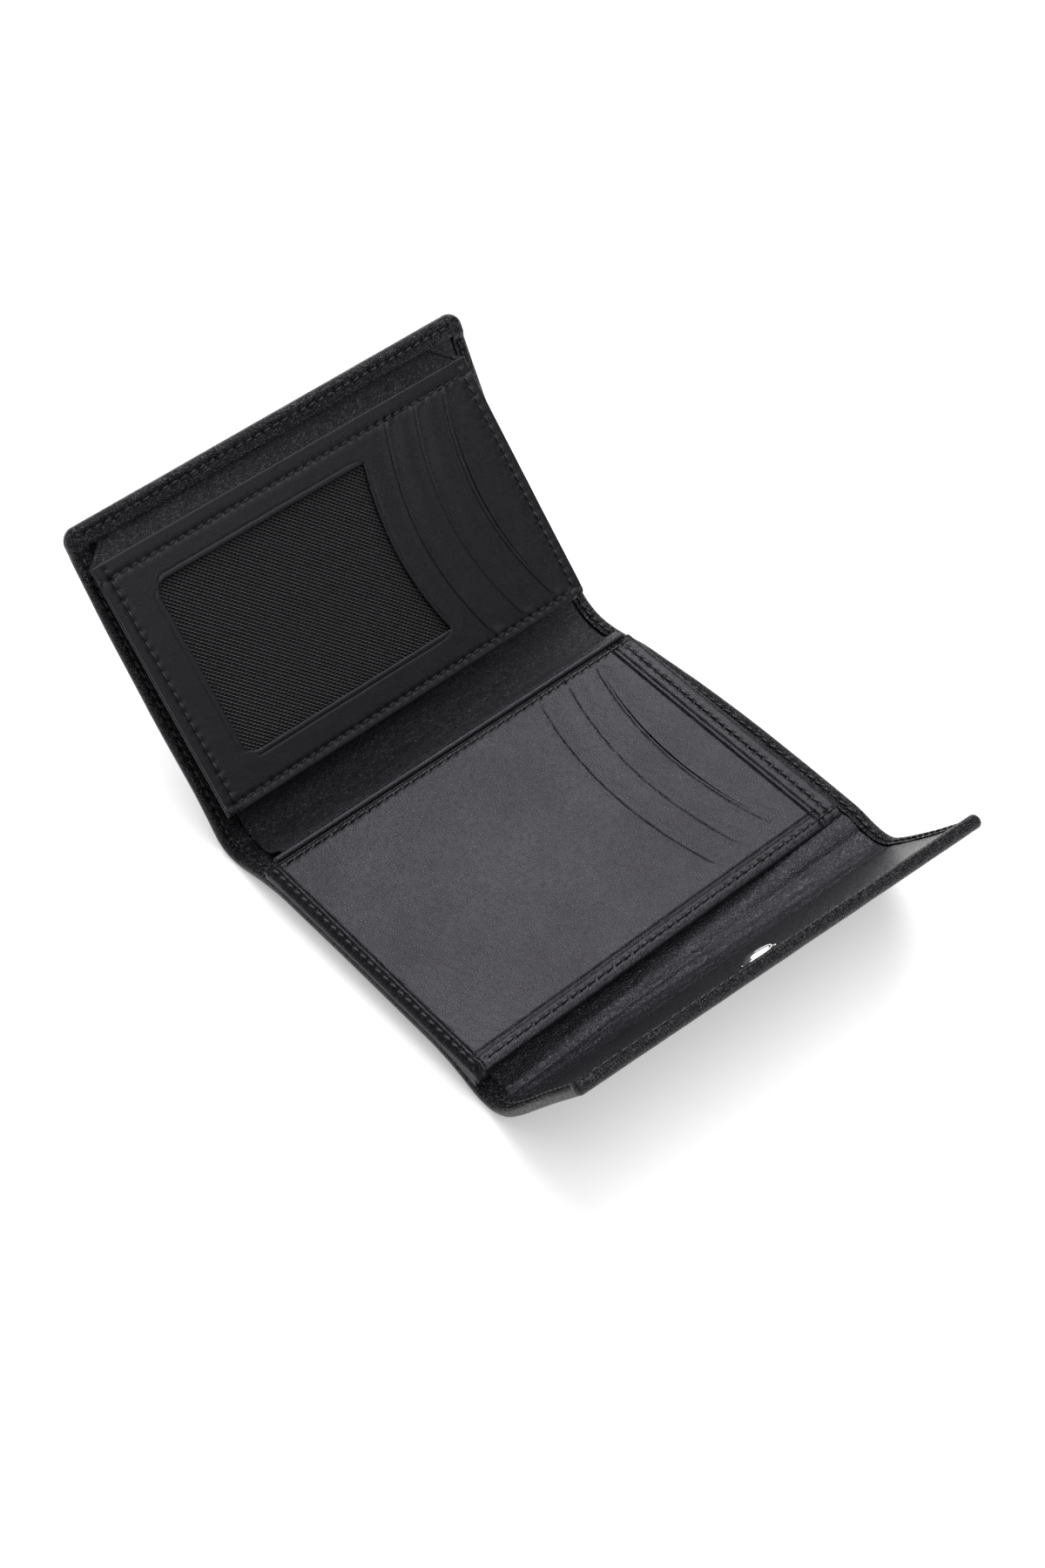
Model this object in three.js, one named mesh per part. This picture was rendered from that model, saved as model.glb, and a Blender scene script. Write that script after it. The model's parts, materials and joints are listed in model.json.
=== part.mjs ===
// Trifold wallet, lying open on its middle panel. Millimetres.
// X runs along the folds: -X is the closed end of the banknote compartment, +X its open end.
// +Y runs towards the back panel, +Z is up. The origin is the centre of the middle panel's underside.
import * as THREE from 'three';

// Driving dimensions
const WIDTH = 109; // along the folds
const MIDDLE_HALF = 38.65; // from the origin to the first crease of either fold
const REAR_SPINE = 13.8; // between the two creases of the rear fold
const FRONT_SPINE = 12.9; // between the two creases of the front fold
const BACK_LENGTH = 79.3; // from its crease to the top edge
const FLAP_LENGTH = 33.5; // from its crease to the free edge
const POUCH_WIDTH = 103.3;
const POUCH_LENGTH = 61.6;
const CORNER = 4.5; // radius of the free corners

// How far each fold is bent when the wallet lies open, in degrees
const BACK_ANGLE = 50.8;
const FRONT_SPINE_ANGLE = 41.5;
const FLAP_ANGLE = 12.8;
const POUCH_ANGLE = -4.5;

// Heights are measured from the outer face of the outer leather, inwards
const LEATHER = 1.0;
const GAP = 0.3; // between neighbouring layers
const BOARD = 0.5;
const LINING = 0.6;
const HEM = [LEATHER + GAP, 2 * LEATHER + GAP];
const BOARD_LAYER = [HEM[0], HEM[0] + BOARD];
const SPINE_LINING = [HEM[0], HEM[0] + LINING];
const PANEL_LINING = [BOARD_LAYER[1] + GAP, BOARD_LAYER[1] + GAP + LINING];

const HALF = WIDTH / 2;
const HEM_WIDTH = 4.5;
const INSIDE = HALF - HEM_WIDTH - GAP; // half width of what lies between the hems
const SHELL_RELIEF = 0.6; // outer leather stops this far from a crease
const HEM_RELIEF = 1.9; // hems and linings stop this far from a crease
const LINING_END = 50.6; // open end of the middle lining and of the card panel
const CLOSED_END = -54.2; // closed end of the middle lining and of the card panel

const wallet = new THREE.Group();

function finish(color, roughness, metalness = 0) {
  return () => new THREE.MeshStandardMaterial({ color, roughness, metalness });
}

const OUTER = finish(0x1b1b1d, 0.5);
const INNER = finish(0x262528, 0.6);
const SMOOTH = finish(0x2b292c, 0.38);
const FABRIC = finish(0x141415, 0.9);
const MESH = finish(0x3a3a3c, 0.7);
const CARD_BOARD = finish(0x6b655c, 0.95);
const METAL = finish(0xc9cace, 0.2, 1);

// A panel's own frame: its origin is on the crease, Y runs away from it and Z points inwards.
function panelGroup(parent, along, angle) {
  const group = new THREE.Group();
  group.position.y = along;
  group.rotation.x = THREE.MathUtils.degToRad(angle);
  group.userData.mirrored = parent.userData.mirrored;
  parent.add(group);
  return group;
}

function addMesh(group, name, geometry, material) {
  const mesh = new THREE.Mesh(geometry, material());
  mesh.name = name;
  group.add(mesh);
}

// A rectangle with its corners rounded by the radii [low X low Y, high X low Y, high X high Y, low X high Y]
function roundedRectangle([x0, x1], [y0, y1], radii = [0, 0, 0, 0]) {
  const corners = [
    [x0, y0, 1, 1, Math.PI],
    [x1, y0, -1, 1, -Math.PI / 2],
    [x1, y1, -1, -1, 0],
    [x0, y1, 1, -1, Math.PI / 2],
  ];
  const shape = new THREE.Shape();
  corners.forEach(([x, y, inX, inY, start], i) => {
    const r = radii[i];
    if (r > 0) {
      shape.absarc(x + inX * r, y + inY * r, r, start, start + Math.PI / 2, false);
    } else if (i === 0) {
      shape.moveTo(x, y);
    } else {
      shape.lineTo(x, y);
    }
  });
  return shape;
}

// A layer: a flat outline that fills the heights from low to high above the outer face
function layer(group, name, outline, [low, high], material) {
  const geometry = new THREE.ExtrudeGeometry(outline, {
    depth: high - low,
    bevelEnabled: false,
    curveSegments: 6,
  });
  geometry.translate(0, 0, low - LEATHER / 2);
  addMesh(group, name, geometry, material);
}

// A plain layer between two X values; in a mirrored group X is turned round
function plate(group, name, [x0, x1], along, heights, material, radii) {
  const across = group.userData.mirrored ? [-x1, -x0] : [x0, x1];
  layer(group, name, roundedRectangle(across, along, radii), heights, material);
}

// A bar of constant section along X; the section is drawn as (Y, height)
function bar(group, name, section, [x0, x1], material) {
  const geometry = new THREE.ExtrudeGeometry(section, {
    depth: x1 - x0,
    bevelEnabled: false,
    curveSegments: 6,
  });
  const turn = new THREE.Matrix4().makeBasis(
    new THREE.Vector3(0, 1, 0),
    new THREE.Vector3(0, 0, 1),
    new THREE.Vector3(1, 0, 0),
  );
  geometry.applyMatrix4(turn);
  geometry.translate(x0, 0, -LEATHER / 2);
  addMesh(group, name, geometry, material);
}

// Turned hems along both ends of a panel
function endHems(group, prefix, along) {
  plate(group, `${prefix}_hem_closed_end`, [-HALF, -HALF + HEM_WIDTH], along, HEM, OUTER);
  plate(group, `${prefix}_hem_open_end`, [HALF - HEM_WIDTH, HALF], along, HEM, OUTER);
}

// A line between two points that bows sideways by a parabola of the given depth
function bowedLine([x0, y0], [x1, y1], bow, steps) {
  const points = [];
  for (let i = 0; i <= steps; i += 1) {
    const t = i / steps;
    const side = bow * 4 * t * (1 - t);
    points.push(new THREE.Vector2(x0 + (x1 - x0) * t + side, y0 + (y1 - y0) * t));
  }
  return points;
}

// A card slit: a thin curved opening whose middle dips away from the card's outer edge
const SLIT_WIDTH = 0.6;
const SLIT_STEPS = 10;
function slit(from, to, bow) {
  const right = bowedLine(from, to, bow, SLIT_STEPS);
  const left = bowedLine(from, to, bow, SLIT_STEPS).reverse();
  left.forEach((p) => {
    p.x -= SLIT_WIDTH;
  });
  return new THREE.Path([...right, ...left]);
}

function hole(x, y, radius) {
  return new THREE.Path().absarc(x, y, radius, 0, 2 * Math.PI, true);
}

// ---- Middle panel
const middle = panelGroup(wallet, 0, 0);
middle.position.z = LEATHER / 2;

const MIDDLE_SHELL = MIDDLE_HALF - SHELL_RELIEF;
const MIDDLE_INNER = MIDDLE_HALF - HEM_RELIEF - 0.05;
const MIDDLE_LINING = [3.5, 4.1];
plate(middle, 'middle_outer_leather', [-HALF, HALF], [-MIDDLE_SHELL, MIDDLE_SHELL], [0, LEATHER], OUTER);
endHems(middle, 'middle', [-MIDDLE_INNER, MIDDLE_INNER]);
plate(middle, 'middle_board', [-INSIDE, INSIDE], [-MIDDLE_INNER, MIDDLE_INNER], BOARD_LAYER, CARD_BOARD);
plate(
  middle,
  'banknote_end_strip',
  [-HALF, -HALF + HEM_WIDTH],
  [-MIDDLE_INNER, MIDDLE_INNER],
  [HEM[1] + GAP, MIDDLE_LINING[0] - GAP],
  INNER,
);
plate(middle, 'middle_lining', [CLOSED_END, LINING_END], [-MIDDLE_INNER, MIDDLE_INNER], MIDDLE_LINING, INNER);

// Card panel on the middle panel
const CARD_FRONT = -35.1; // its front edge, the mouth of the slip pocket
const CARD_REAR = 36.55;
const CARD_TOP = [8.5, 9.5];
const CARD_BACKING = [5.9, 6.3];
const EDGE_WIDTH = 2.4;
const CARD_SLITS = [
  { high: [39.2, 32.4], low: [37.3, -26.9] },
  { high: [31.0, 32.6], low: [28.3, -27.0] },
  { high: [22.3, 32.0], low: [20.3, -27.3] },
];
const SLIT_BOW = -4.2;

function cardPanel() {
  const outline = roundedRectangle([CLOSED_END, LINING_END], [CARD_FRONT, CARD_REAR]);
  CARD_SLITS.forEach(({ low, high }) => outline.holes.push(slit(low, high, SLIT_BOW)));
  layer(middle, 'card_panel_front', outline, CARD_TOP, SMOOTH);

  const inside = [CLOSED_END + EDGE_WIDTH + GAP, LINING_END - EDGE_WIDTH - GAP];
  const length = [CARD_FRONT + EDGE_WIDTH + GAP, CARD_REAR - EDGE_WIDTH - GAP];
  plate(middle, 'card_pocket_backing', inside, length, CARD_BACKING, FABRIC);

  // each pocket's liner starts just past its slit, and the first slit's liner lies deepest
  const linerThickness = 0.3;
  const linerPitch = 0.6;
  CARD_SLITS.forEach(({ high }, i) => {
    const low = CARD_BACKING[1] + 0.4 + i * linerPitch;
    const across = [inside[0], high[0] + 3];
    plate(middle, `card_pocket_liner_${i + 1}`, across, length, [low, low + linerThickness], FABRIC);
  });

  // stitched edges: three close the slip pocket, and the front one leaves its mouth open
  const stack = [MIDDLE_LINING[1] + GAP, CARD_TOP[0] - GAP];
  const full = [CARD_FRONT, CARD_REAR];
  plate(middle, 'card_edge_closed_end', [CLOSED_END, CLOSED_END + EDGE_WIDTH], full, stack, SMOOTH);
  plate(middle, 'card_edge_open_end', [LINING_END - EDGE_WIDTH, LINING_END], full, stack, SMOOTH);
  plate(middle, 'card_edge_rear', inside, [CARD_REAR - EDGE_WIDTH, CARD_REAR], stack, SMOOTH);
  const frontStack = [CARD_BACKING[1] + GAP, stack[1]];
  plate(middle, 'card_edge_front', inside, [CARD_FRONT, CARD_FRONT + EDGE_WIDTH], frontStack, SMOOTH);

  const pipingRadius = 0.7;
  const pipingLow = CARD_TOP[1] + GAP / 2;
  const section = roundedRectangle(
    [CARD_REAR - 2 * pipingRadius, CARD_REAR],
    [pipingLow, pipingLow + 2 * pipingRadius],
    [0, 0, pipingRadius, pipingRadius],
  );
  bar(middle, 'card_panel_piping', section, [-50.5, 44.6], SMOOTH);
}
cardPanel();

// ---- Rear fold
const rearSpine = panelGroup(middle, MIDDLE_HALF, 0);
const REAR_SHELL = [SHELL_RELIEF, REAR_SPINE - SHELL_RELIEF];
const REAR_INNER = [HEM_RELIEF, REAR_SPINE - HEM_RELIEF];
const NARROW_CLOSED_END = -48;
plate(rearSpine, 'rear_fold_outer_leather', [-HALF, HALF], REAR_SHELL, [0, LEATHER], OUTER);
endHems(rearSpine, 'rear_fold', REAR_INNER);
plate(rearSpine, 'rear_fold_lining', [NARROW_CLOSED_END, INSIDE], REAR_INNER, SPINE_LINING, INNER);

// ---- Back panel
const back = panelGroup(rearSpine, REAR_SPINE, BACK_ANGLE);
const TOP_HEM = [BACK_LENGTH - HEM_WIDTH, BACK_LENGTH];
const TOP_HEM_LAYER = [HEM[0], HEM[1] + GAP]; // padded, so a little thicker
const BACK_INNER = [HEM_RELIEF + 0.4, TOP_HEM[0] - GAP];
const topCorners = [0, 0, CORNER, CORNER];
plate(
  back,
  'back_outer_leather',
  [-HALF, HALF],
  [SHELL_RELIEF, BACK_LENGTH],
  [0, LEATHER],
  OUTER,
  topCorners,
);
endHems(back, 'back', BACK_INNER);
plate(back, 'back_top_hem', [-HALF, HALF], TOP_HEM, TOP_HEM_LAYER, OUTER, topCorners);
plate(back, 'back_board', [-INSIDE, INSIDE], BACK_INNER, BOARD_LAYER, CARD_BOARD);
plate(back, 'back_lining', [-INSIDE, INSIDE], BACK_INNER, PANEL_LINING, INNER);

// ---- Identity pouch: its frame starts at the top of its back wall, so it hangs along -Y
const POUCH_TOP = 74.5; // where its back wall is sewn in
const POUCH_HEIGHT = 3.2; // height of its hinge line above the outer face
const pouch = panelGroup(back, POUCH_TOP, POUCH_ANGLE);
pouch.position.z = POUCH_HEIGHT - LEATHER / 2;

const POUCH_LOW = -67.3;
const POUCH_HIGH = POUCH_LOW + POUCH_LENGTH;
const POUCH_X = [-52.6, -52.6 + POUCH_WIDTH];
// heights in the pouch, again above the outer face; its frame's zero is its hinge line
const POUCH_WALL = [3.0, 3.4];
const POUCH_MIDDLE = [3.65, 3.95];
const POUCH_FRONT = [4.2, 5.0];

function pouchLayer(name, outline, [low, high], material) {
  layer(pouch, name, outline, [low - POUCH_HEIGHT + LEATHER / 2, high - POUCH_HEIGHT + LEATHER / 2], material);
}

function pouchRectangle([x0, x1], [s0, s1], radii) {
  return roundedRectangle([POUCH_X[0] + x0, POUCH_X[0] + x1], [POUCH_LOW + s0, POUCH_LOW + s1], radii);
}

// positions inside the pouch are measured from its lower corner at the closed end
const WINDOW = { x: [10.6, 68.1], s: [9.6, 51.9], bow: -3, radius: 3.5 };
const POUCH_SLITS = [
  { high: [78.6, 57.6], low: [77.9, 3.4] },
  { high: [86.9, 57.6], low: [87.0, 3.4] },
  { high: [95.2, 57.6], low: [96.4, 3.4] },
];

function windowOutline() {
  const [x0, x1] = WINDOW.x.map((x) => POUCH_X[0] + x);
  const [s0, s1] = WINDOW.s.map((s) => POUCH_LOW + s);
  const r = WINDOW.radius;
  const path = new THREE.Path(bowedLine([x1, s0], [x1, s1], WINDOW.bow, SLIT_STEPS));
  path.absarc(x0 + r, s1 - r, r, Math.PI / 2, Math.PI, false);
  path.absarc(x0 + r, s0 + r, r, Math.PI, 1.5 * Math.PI, false);
  return path;
}

function identityPouch() {
  const wall = new THREE.Shape();
  const [left, right] = POUCH_X;
  const taper = 3.4; // the wall narrows above the front leather
  wall.moveTo(left, POUCH_LOW);
  wall.lineTo(right, POUCH_LOW);
  wall.lineTo(right, POUCH_HIGH);
  wall.lineTo(right - taper, 0);
  wall.lineTo(left + taper, 0);
  wall.lineTo(left, POUCH_HIGH);
  pouchLayer('pouch_back_wall', wall, POUCH_WALL, INNER);

  const front = pouchRectangle([0, POUCH_WIDTH], [0, POUCH_LENGTH], [3, 1.5, 1.5, 1.5]);
  front.holes.push(windowOutline());
  POUCH_SLITS.forEach(({ low, high }) => {
    const from = [POUCH_X[0] + low[0], POUCH_LOW + low[1]];
    const to = [POUCH_X[0] + high[0], POUCH_LOW + high[1]];
    front.holes.push(slit(from, to, SLIT_BOW));
  });
  pouchLayer('pouch_front_leather', front, POUCH_FRONT, SMOOTH);

  const edge = 2;
  const inside = [edge + GAP, POUCH_LENGTH - edge];
  const meshEnd = 71;
  pouchLayer('pouch_window_mesh', pouchRectangle([edge + GAP, meshEnd], inside), POUCH_MIDDLE, MESH);
  const linerEnds = [meshEnd + GAP, POUCH_WIDTH - edge - GAP];
  pouchLayer('pouch_card_liner', pouchRectangle(linerEnds, inside), POUCH_MIDDLE, FABRIC);

  const full = [0, POUCH_LENGTH];
  pouchLayer('pouch_edge_closed_end', pouchRectangle([0, edge], full, [1.9, 0, 0, 0]), POUCH_MIDDLE, SMOOTH);
  pouchLayer(
    'pouch_edge_open_end',
    pouchRectangle([POUCH_WIDTH - edge, POUCH_WIDTH], full, [0, 1.5, 0, 0]),
    POUCH_MIDDLE,
    SMOOTH,
  );
  const bottom = pouchRectangle([edge + GAP, POUCH_WIDTH - edge - GAP], [0, edge]);
  pouchLayer('pouch_edge_bottom', bottom, POUCH_MIDDLE, SMOOTH);
}
identityPouch();

// ---- Front fold: the group is turned half round about Z, so that Y again runs away from the crease
const frontSide = new THREE.Group();
frontSide.position.y = -MIDDLE_HALF;
frontSide.rotation.z = Math.PI;
frontSide.userData.mirrored = true;
middle.add(frontSide);
const frontSpine = panelGroup(frontSide, 0, FRONT_SPINE_ANGLE);
const FRONT_SHELL = [SHELL_RELIEF, FRONT_SPINE - SHELL_RELIEF];
const FRONT_INNER = [HEM_RELIEF, FRONT_SPINE - HEM_RELIEF];
plate(frontSpine, 'front_fold_outer_leather', [-HALF, HALF], FRONT_SHELL, [0, LEATHER], OUTER);
endHems(frontSpine, 'front_fold', FRONT_INNER);
plate(frontSpine, 'front_fold_lining', [-INSIDE, INSIDE], FRONT_INNER, SPINE_LINING, INNER);

// ---- Front flap
const flap = panelGroup(frontSpine, FRONT_SPINE, FLAP_ANGLE);
const ROLL_WIDTH = 3.4;
const ROLL_HEIGHT = 3.2;
const ROLL_LOW = FLAP_LENGTH - ROLL_WIDTH;
const FLAP_SHELL = [SHELL_RELIEF, ROLL_LOW - GAP];
const FLAP_INNER = [HEM_RELIEF + 0.4, ROLL_LOW - GAP];
const PLAQUE = { x: -2, along: 24.6, length: 9.4, width: 5, heights: [3.0, 3.8] };
const POST_SPACING = 5;
const POST_RADIUS = 0.8;

// the plaque is given in the wallet's own X, and the group is turned round
const plaqueX = -PLAQUE.x;

function flapLayers() {
  plate(flap, 'flap_outer_leather', [-HALF, HALF], FLAP_SHELL, [0, LEATHER], OUTER);
  endHems(flap, 'flap', FLAP_INNER);
  const roll = roundedRectangle([ROLL_LOW, FLAP_LENGTH], [0, ROLL_HEIGHT], [0.5, 1.5, 1.5, 0.9]);
  bar(flap, 'flap_rolled_edge', roll, [-HALF, HALF], OUTER);

  const board = roundedRectangle([-INSIDE, INSIDE], FLAP_INNER);
  const recess = roundedRectangle(
    [plaqueX - PLAQUE.length / 2 - 1, plaqueX + PLAQUE.length / 2 + 1],
    [PLAQUE.along - PLAQUE.width / 2 - 1, PLAQUE.along + PLAQUE.width / 2 + 1],
  );
  board.holes.push(new THREE.Path(recess.getPoints()));
  layer(flap, 'flap_board', board, BOARD_LAYER, CARD_BOARD);

  const lining = roundedRectangle([-INSIDE, INSIDE], FLAP_INNER);
  [-1, 1].forEach((side) => {
    lining.holes.push(hole(plaqueX + (side * POST_SPACING) / 2, PLAQUE.along, POST_RADIUS + GAP));
  });
  layer(flap, 'flap_lining', lining, PANEL_LINING, INNER);
}

function plaque() {
  const oval = new THREE.Shape();
  oval.absellipse(plaqueX, PLAQUE.along, PLAQUE.length / 2, PLAQUE.width / 2, 0, 2 * Math.PI, false);
  layer(flap, 'plaque', oval, PLAQUE.heights, METAL);

  const washer = roundedRectangle(
    [plaqueX - PLAQUE.length / 2, plaqueX + PLAQUE.length / 2],
    [PLAQUE.along - PLAQUE.width / 2, PLAQUE.along + PLAQUE.width / 2],
  );
  layer(flap, 'plaque_washer', washer, BOARD_LAYER, METAL);

  [-1, 1].forEach((side, i) => {
    const post = new THREE.Shape();
    post.absarc(plaqueX + (side * POST_SPACING) / 2, PLAQUE.along, POST_RADIUS, 0, 2 * Math.PI, false);
    const heights = [BOARD_LAYER[1] + GAP / 2, PLAQUE.heights[0] - GAP / 2];
    layer(flap, `plaque_post_${i + 1}`, post, heights, METAL);
  });
}
flapLayers();
plaque();

export default wallet;
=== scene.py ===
"""Trifold wallet, lying open on its middle panel: the looks of every layer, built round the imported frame.

Lengths are in millimetres until a mesh is made. x runs along the folds, s runs along the leather from the
middle panel's centre line (positive towards the back panel), and w is the height above the outer face.
"""

import json
import math
from collections import namedtuple

import bpy
import numpy as np
from mathutils import Matrix, Vector


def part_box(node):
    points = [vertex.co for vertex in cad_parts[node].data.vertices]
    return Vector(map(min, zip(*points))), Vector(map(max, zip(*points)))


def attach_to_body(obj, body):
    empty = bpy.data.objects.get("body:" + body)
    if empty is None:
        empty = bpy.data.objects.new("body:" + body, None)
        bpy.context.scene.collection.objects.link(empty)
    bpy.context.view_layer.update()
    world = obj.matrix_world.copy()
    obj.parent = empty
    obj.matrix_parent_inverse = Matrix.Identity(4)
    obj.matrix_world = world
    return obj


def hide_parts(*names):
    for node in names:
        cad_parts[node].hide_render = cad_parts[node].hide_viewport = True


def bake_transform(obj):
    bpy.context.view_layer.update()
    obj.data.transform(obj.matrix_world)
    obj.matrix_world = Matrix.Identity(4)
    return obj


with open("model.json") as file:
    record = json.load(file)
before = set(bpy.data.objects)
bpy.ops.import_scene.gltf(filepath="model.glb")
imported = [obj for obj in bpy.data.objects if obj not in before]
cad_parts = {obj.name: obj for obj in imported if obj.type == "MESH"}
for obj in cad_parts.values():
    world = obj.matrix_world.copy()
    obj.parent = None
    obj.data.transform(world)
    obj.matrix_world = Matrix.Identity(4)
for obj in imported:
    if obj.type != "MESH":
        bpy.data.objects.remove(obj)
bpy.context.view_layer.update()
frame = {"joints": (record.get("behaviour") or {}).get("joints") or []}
MM = 0.001

# ---- Sizes from the frame
HINGE = {j["name"]: np.array(j["pos_m"]) / MM for j in frame["joints"]}
BENT = {j["name"]: -j["range_deg"][0] for j in frame["joints"]}  # how far each fold is bent at rest


def span(node_name, axis):
    """Lowest and highest value of a CAD node along an axis, in millimetres."""
    low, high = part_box(node_name)
    return low[axis] / MM, high[axis] / MM


HALF = span("middle_outer_leather", 0)[1]
REAR_1 = HINGE["rear_spine_fold"][1]
REAR_2 = HINGE["back_panel_fold"][1]
FRONT_1 = HINGE["front_spine_fold"][1]
FRONT_2 = FRONT_1 - np.linalg.norm(HINGE["flap_fold"] - HINGE["front_spine_fold"])
REAR_CUT = (REAR_1 + REAR_2) / 2  # the outer leather is split here, between two joints
FRONT_CUT = (FRONT_1 + FRONT_2) / 2
BACK_LENGTH = 79.3  # along the leather, from the last crease to the edge
FLAP_LENGTH = 33.5
BACK_TOP = REAR_2 + BACK_LENGTH
FLAP_EDGE = FRONT_2 - FLAP_LENGTH
CARD_LOW, CARD_HIGH = span("card_panel_front", 2)
CARD_X = span("card_panel_front", 0)
CARD_Y = span("card_panel_front", 1)

LEATHER = 1.0
HEM_TOP = 2.3  # height of a turned hem
HEM_WIDTH = 4.5
TOP_HEM_WIDTH = 5.0
TOP_HEM_RISE = 0.8  # the top hem is folded over one more layer
OPEN_HEM_WIDTH = 3.7
RIM = HEM_TOP / 2
CORNER = 3.4
STITCH_PITCH = 2.5
HEM_SEAM = 2.3  # from the edge to the seam

# ---- Small shape functions
def bell(distance, width):
    """A smooth bump: 1 at distance 0, falling to 0.6 at width."""
    return np.exp(-0.5 * (distance / width) ** 2)


def ease(value, low, high):
    """0 below low, 1 above high, and the smooth cubic between."""
    t = np.clip((value - low) / (high - low), 0, 1)
    return t * t * (3 - 2 * t)


def ripple(x, s, wave):
    """A calm unevenness between -1 and 1: three sine waves that cross at different slants."""
    k = 2 * math.pi / wave
    a = np.sin(k * (x + 0.31 * s) + 1.3)
    b = np.sin(k * (0.73 * s - 0.42 * x) + 0.4)
    c = np.sin(k * (0.55 * x + 1.27 * s) + 2.1)
    return (a + b + c) / 3


# ---- Shape of the open wallet: its outer face at the closed end and at the open end, as (y, z)
CLOSED_END = [
    (-66.2, 37.2), (-57.0, 23.3), (-48.6, 9.9), (-44.2, 3.6), (-39.5, 0.5), (-34.5, 0.5), (-27.5, 3.2),
    (-21.0, 4.3), (7.0, 4.4), (31.0, 4.0), (38.5, 2.4), (44.5, 0.3), (49.5, -0.35), (53.6, 1.0),
    (56.6, 5.6), (61.1, 11.7), (73.1, 24.3), (88.8, 43.0), (101.9, 61.2),
]
OPEN_END = [
    (-69.6, 33.8), (-60.4, 21.2), (-53.9, 13.0), (-48.8, 7.0), (-45.2, 5.4), (-40.0, 5.6), (-37.0, 6.6),
    (-26.4, 6.2), (-12.8, 5.5), (15.5, 4.4), (33.3, 3.2), (39.0, 1.6), (45.0, 0.7), (50.0, 1.1),
    (54.6, 3.4), (71.6, 20.9), (86.0, 36.2), (90.4, 42.6), (96.5, 54.5), (100.9, 63.3),
]
GRID = 0.25
SOFTNESS = 1.9  # how widely a corner of the profile is rounded


def rounded_path(points, softness):
    """Straight legs through the points, resampled every GRID of length, then averaged over a bell curve.

    Both ends are carried on in a straight line first, so that the average doesn't pull them in.
    """
    points = np.array(points, float)
    first = points[0] + (points[0] - points[1]) / np.linalg.norm(points[0] - points[1]) * 4 * softness
    last = points[-1] + (points[-1] - points[-2]) / np.linalg.norm(points[-1] - points[-2]) * 4 * softness
    points = np.vstack([first, points, last])
    along = np.concatenate([[0], np.cumsum(np.linalg.norm(np.diff(points, axis=0), axis=1))])
    even = np.arange(0, along[-1], GRID)
    path = np.stack([np.interp(even, along, points[:, i]) for i in (0, 1)], 1)
    reach = int(4 * softness / GRID)
    weight = np.exp(-0.5 * (np.arange(-reach, reach + 1) * GRID / softness) ** 2)
    weight /= weight.sum()
    return np.stack([np.convolve(path[:, i], weight, "valid") for i in (0, 1)], 1)


def profile(points):
    """The rounded path as y, z and its slopes, each on the even scale S.

    Its length on either side of y = 0 is stretched a little, so that it ends at FLAP_EDGE and BACK_TOP.
    """
    path = rounded_path(points, SOFTNESS)
    along = np.concatenate([[0], np.cumsum(np.linalg.norm(np.diff(path, axis=0), axis=1))])
    along -= np.interp(0, path[:, 0], along)
    along = np.where(along < 0, along * FLAP_EDGE / along[0], along * BACK_TOP / along[-1])
    y, z = (np.interp(S, along, path[:, i]) for i in (0, 1))
    return y, z, np.gradient(y, S), np.gradient(z, S)


S = np.arange(FLAP_EDGE, BACK_TOP + GRID, GRID)  # even steps along the leather
SHAPES = list(zip(profile(CLOSED_END), profile(OPEN_END)))


# The open end's edge curls up beside the card panel.
CURL_START = 46.5  # along x
CURL_MIDDLE = -2.0  # along s
CURL_SPREAD = 24.0
CURL_UP = 1.25
CURL_OUT = 0.6


def curl(x, s):
    """Share of the curl, from 0 to 1: it grows towards the edge and fades out towards both folds."""
    return ease(x, CURL_START, HALF) * bell(s - CURL_MIDDLE, CURL_SPREAD)


def on_shell(x, s, w):
    """x, s and w to a point: the end profiles are mixed in proportion to x.

    The point is (x, y, z) + w (0, -rise, run), with (run, rise) the unit slope, plus the curl.
    """
    share = np.clip((x + HALF) / (2 * HALF), 0, 1)
    y, z, run, rise = (np.interp(s, S, a) * (1 - share) + np.interp(s, S, b) * share for a, b in SHAPES)
    length = np.hypot(run, rise)
    lift = curl(x, s)
    return np.stack([x + CURL_OUT * lift, y - rise / length * w, z + CURL_UP * lift + run / length * w], -1)


def on_level(x, y, z):
    """A flat place: the three values are the point."""
    return np.stack(np.broadcast_arrays(x, y, z), -1)


POUCH_HANG = 4.5  # degrees between the pouch and the back panel
POUCH_LEAN = math.radians(BENT["back_panel_fold"] - POUCH_HANG)
POUCH_HINGE = HINGE["pouch_swing"]


def on_pouch(x, a, h):
    """a runs up the pouch to its hinge line at 0, and h is the height above that line, towards the reader."""
    y = POUCH_HINGE[1] + a * math.cos(POUCH_LEAN) - h * math.sin(POUCH_LEAN)
    z = POUCH_HINGE[2] + a * math.sin(POUCH_LEAN) + h * math.cos(POUCH_LEAN)
    return np.stack(np.broadcast_arrays(x, y, z), -1)


# ---- Marks of sewing, grids and rims
def stitch_dips(across, along):
    """How thread pulls the leather down: a groove under the seam, deepest where the needle went in."""
    needle = 0.5 + 0.5 * np.cos(2 * math.pi * along / STITCH_PITCH)
    return bell(across, 0.42) * (0.1 + 0.45 * needle**3)


def pucker(across, along):
    """Leather gathered by a tight seam: short uneven folds across it, two to a stitch."""
    wave = np.sin(4 * math.pi * along / STITCH_PITCH + 2.5 * np.sin(along / 5) + 1.3 * across)
    uneven = 0.75 + 0.4 * np.sin(along * 0.83) * np.sin(along * 0.31 + 1)
    return 0.11 * wave * uneven * bell(across, 0.95) + 0.06 * ripple(across, along, 2.3)


CLOSEST = 0.012  # grid lines nearer than this are merged


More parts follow.
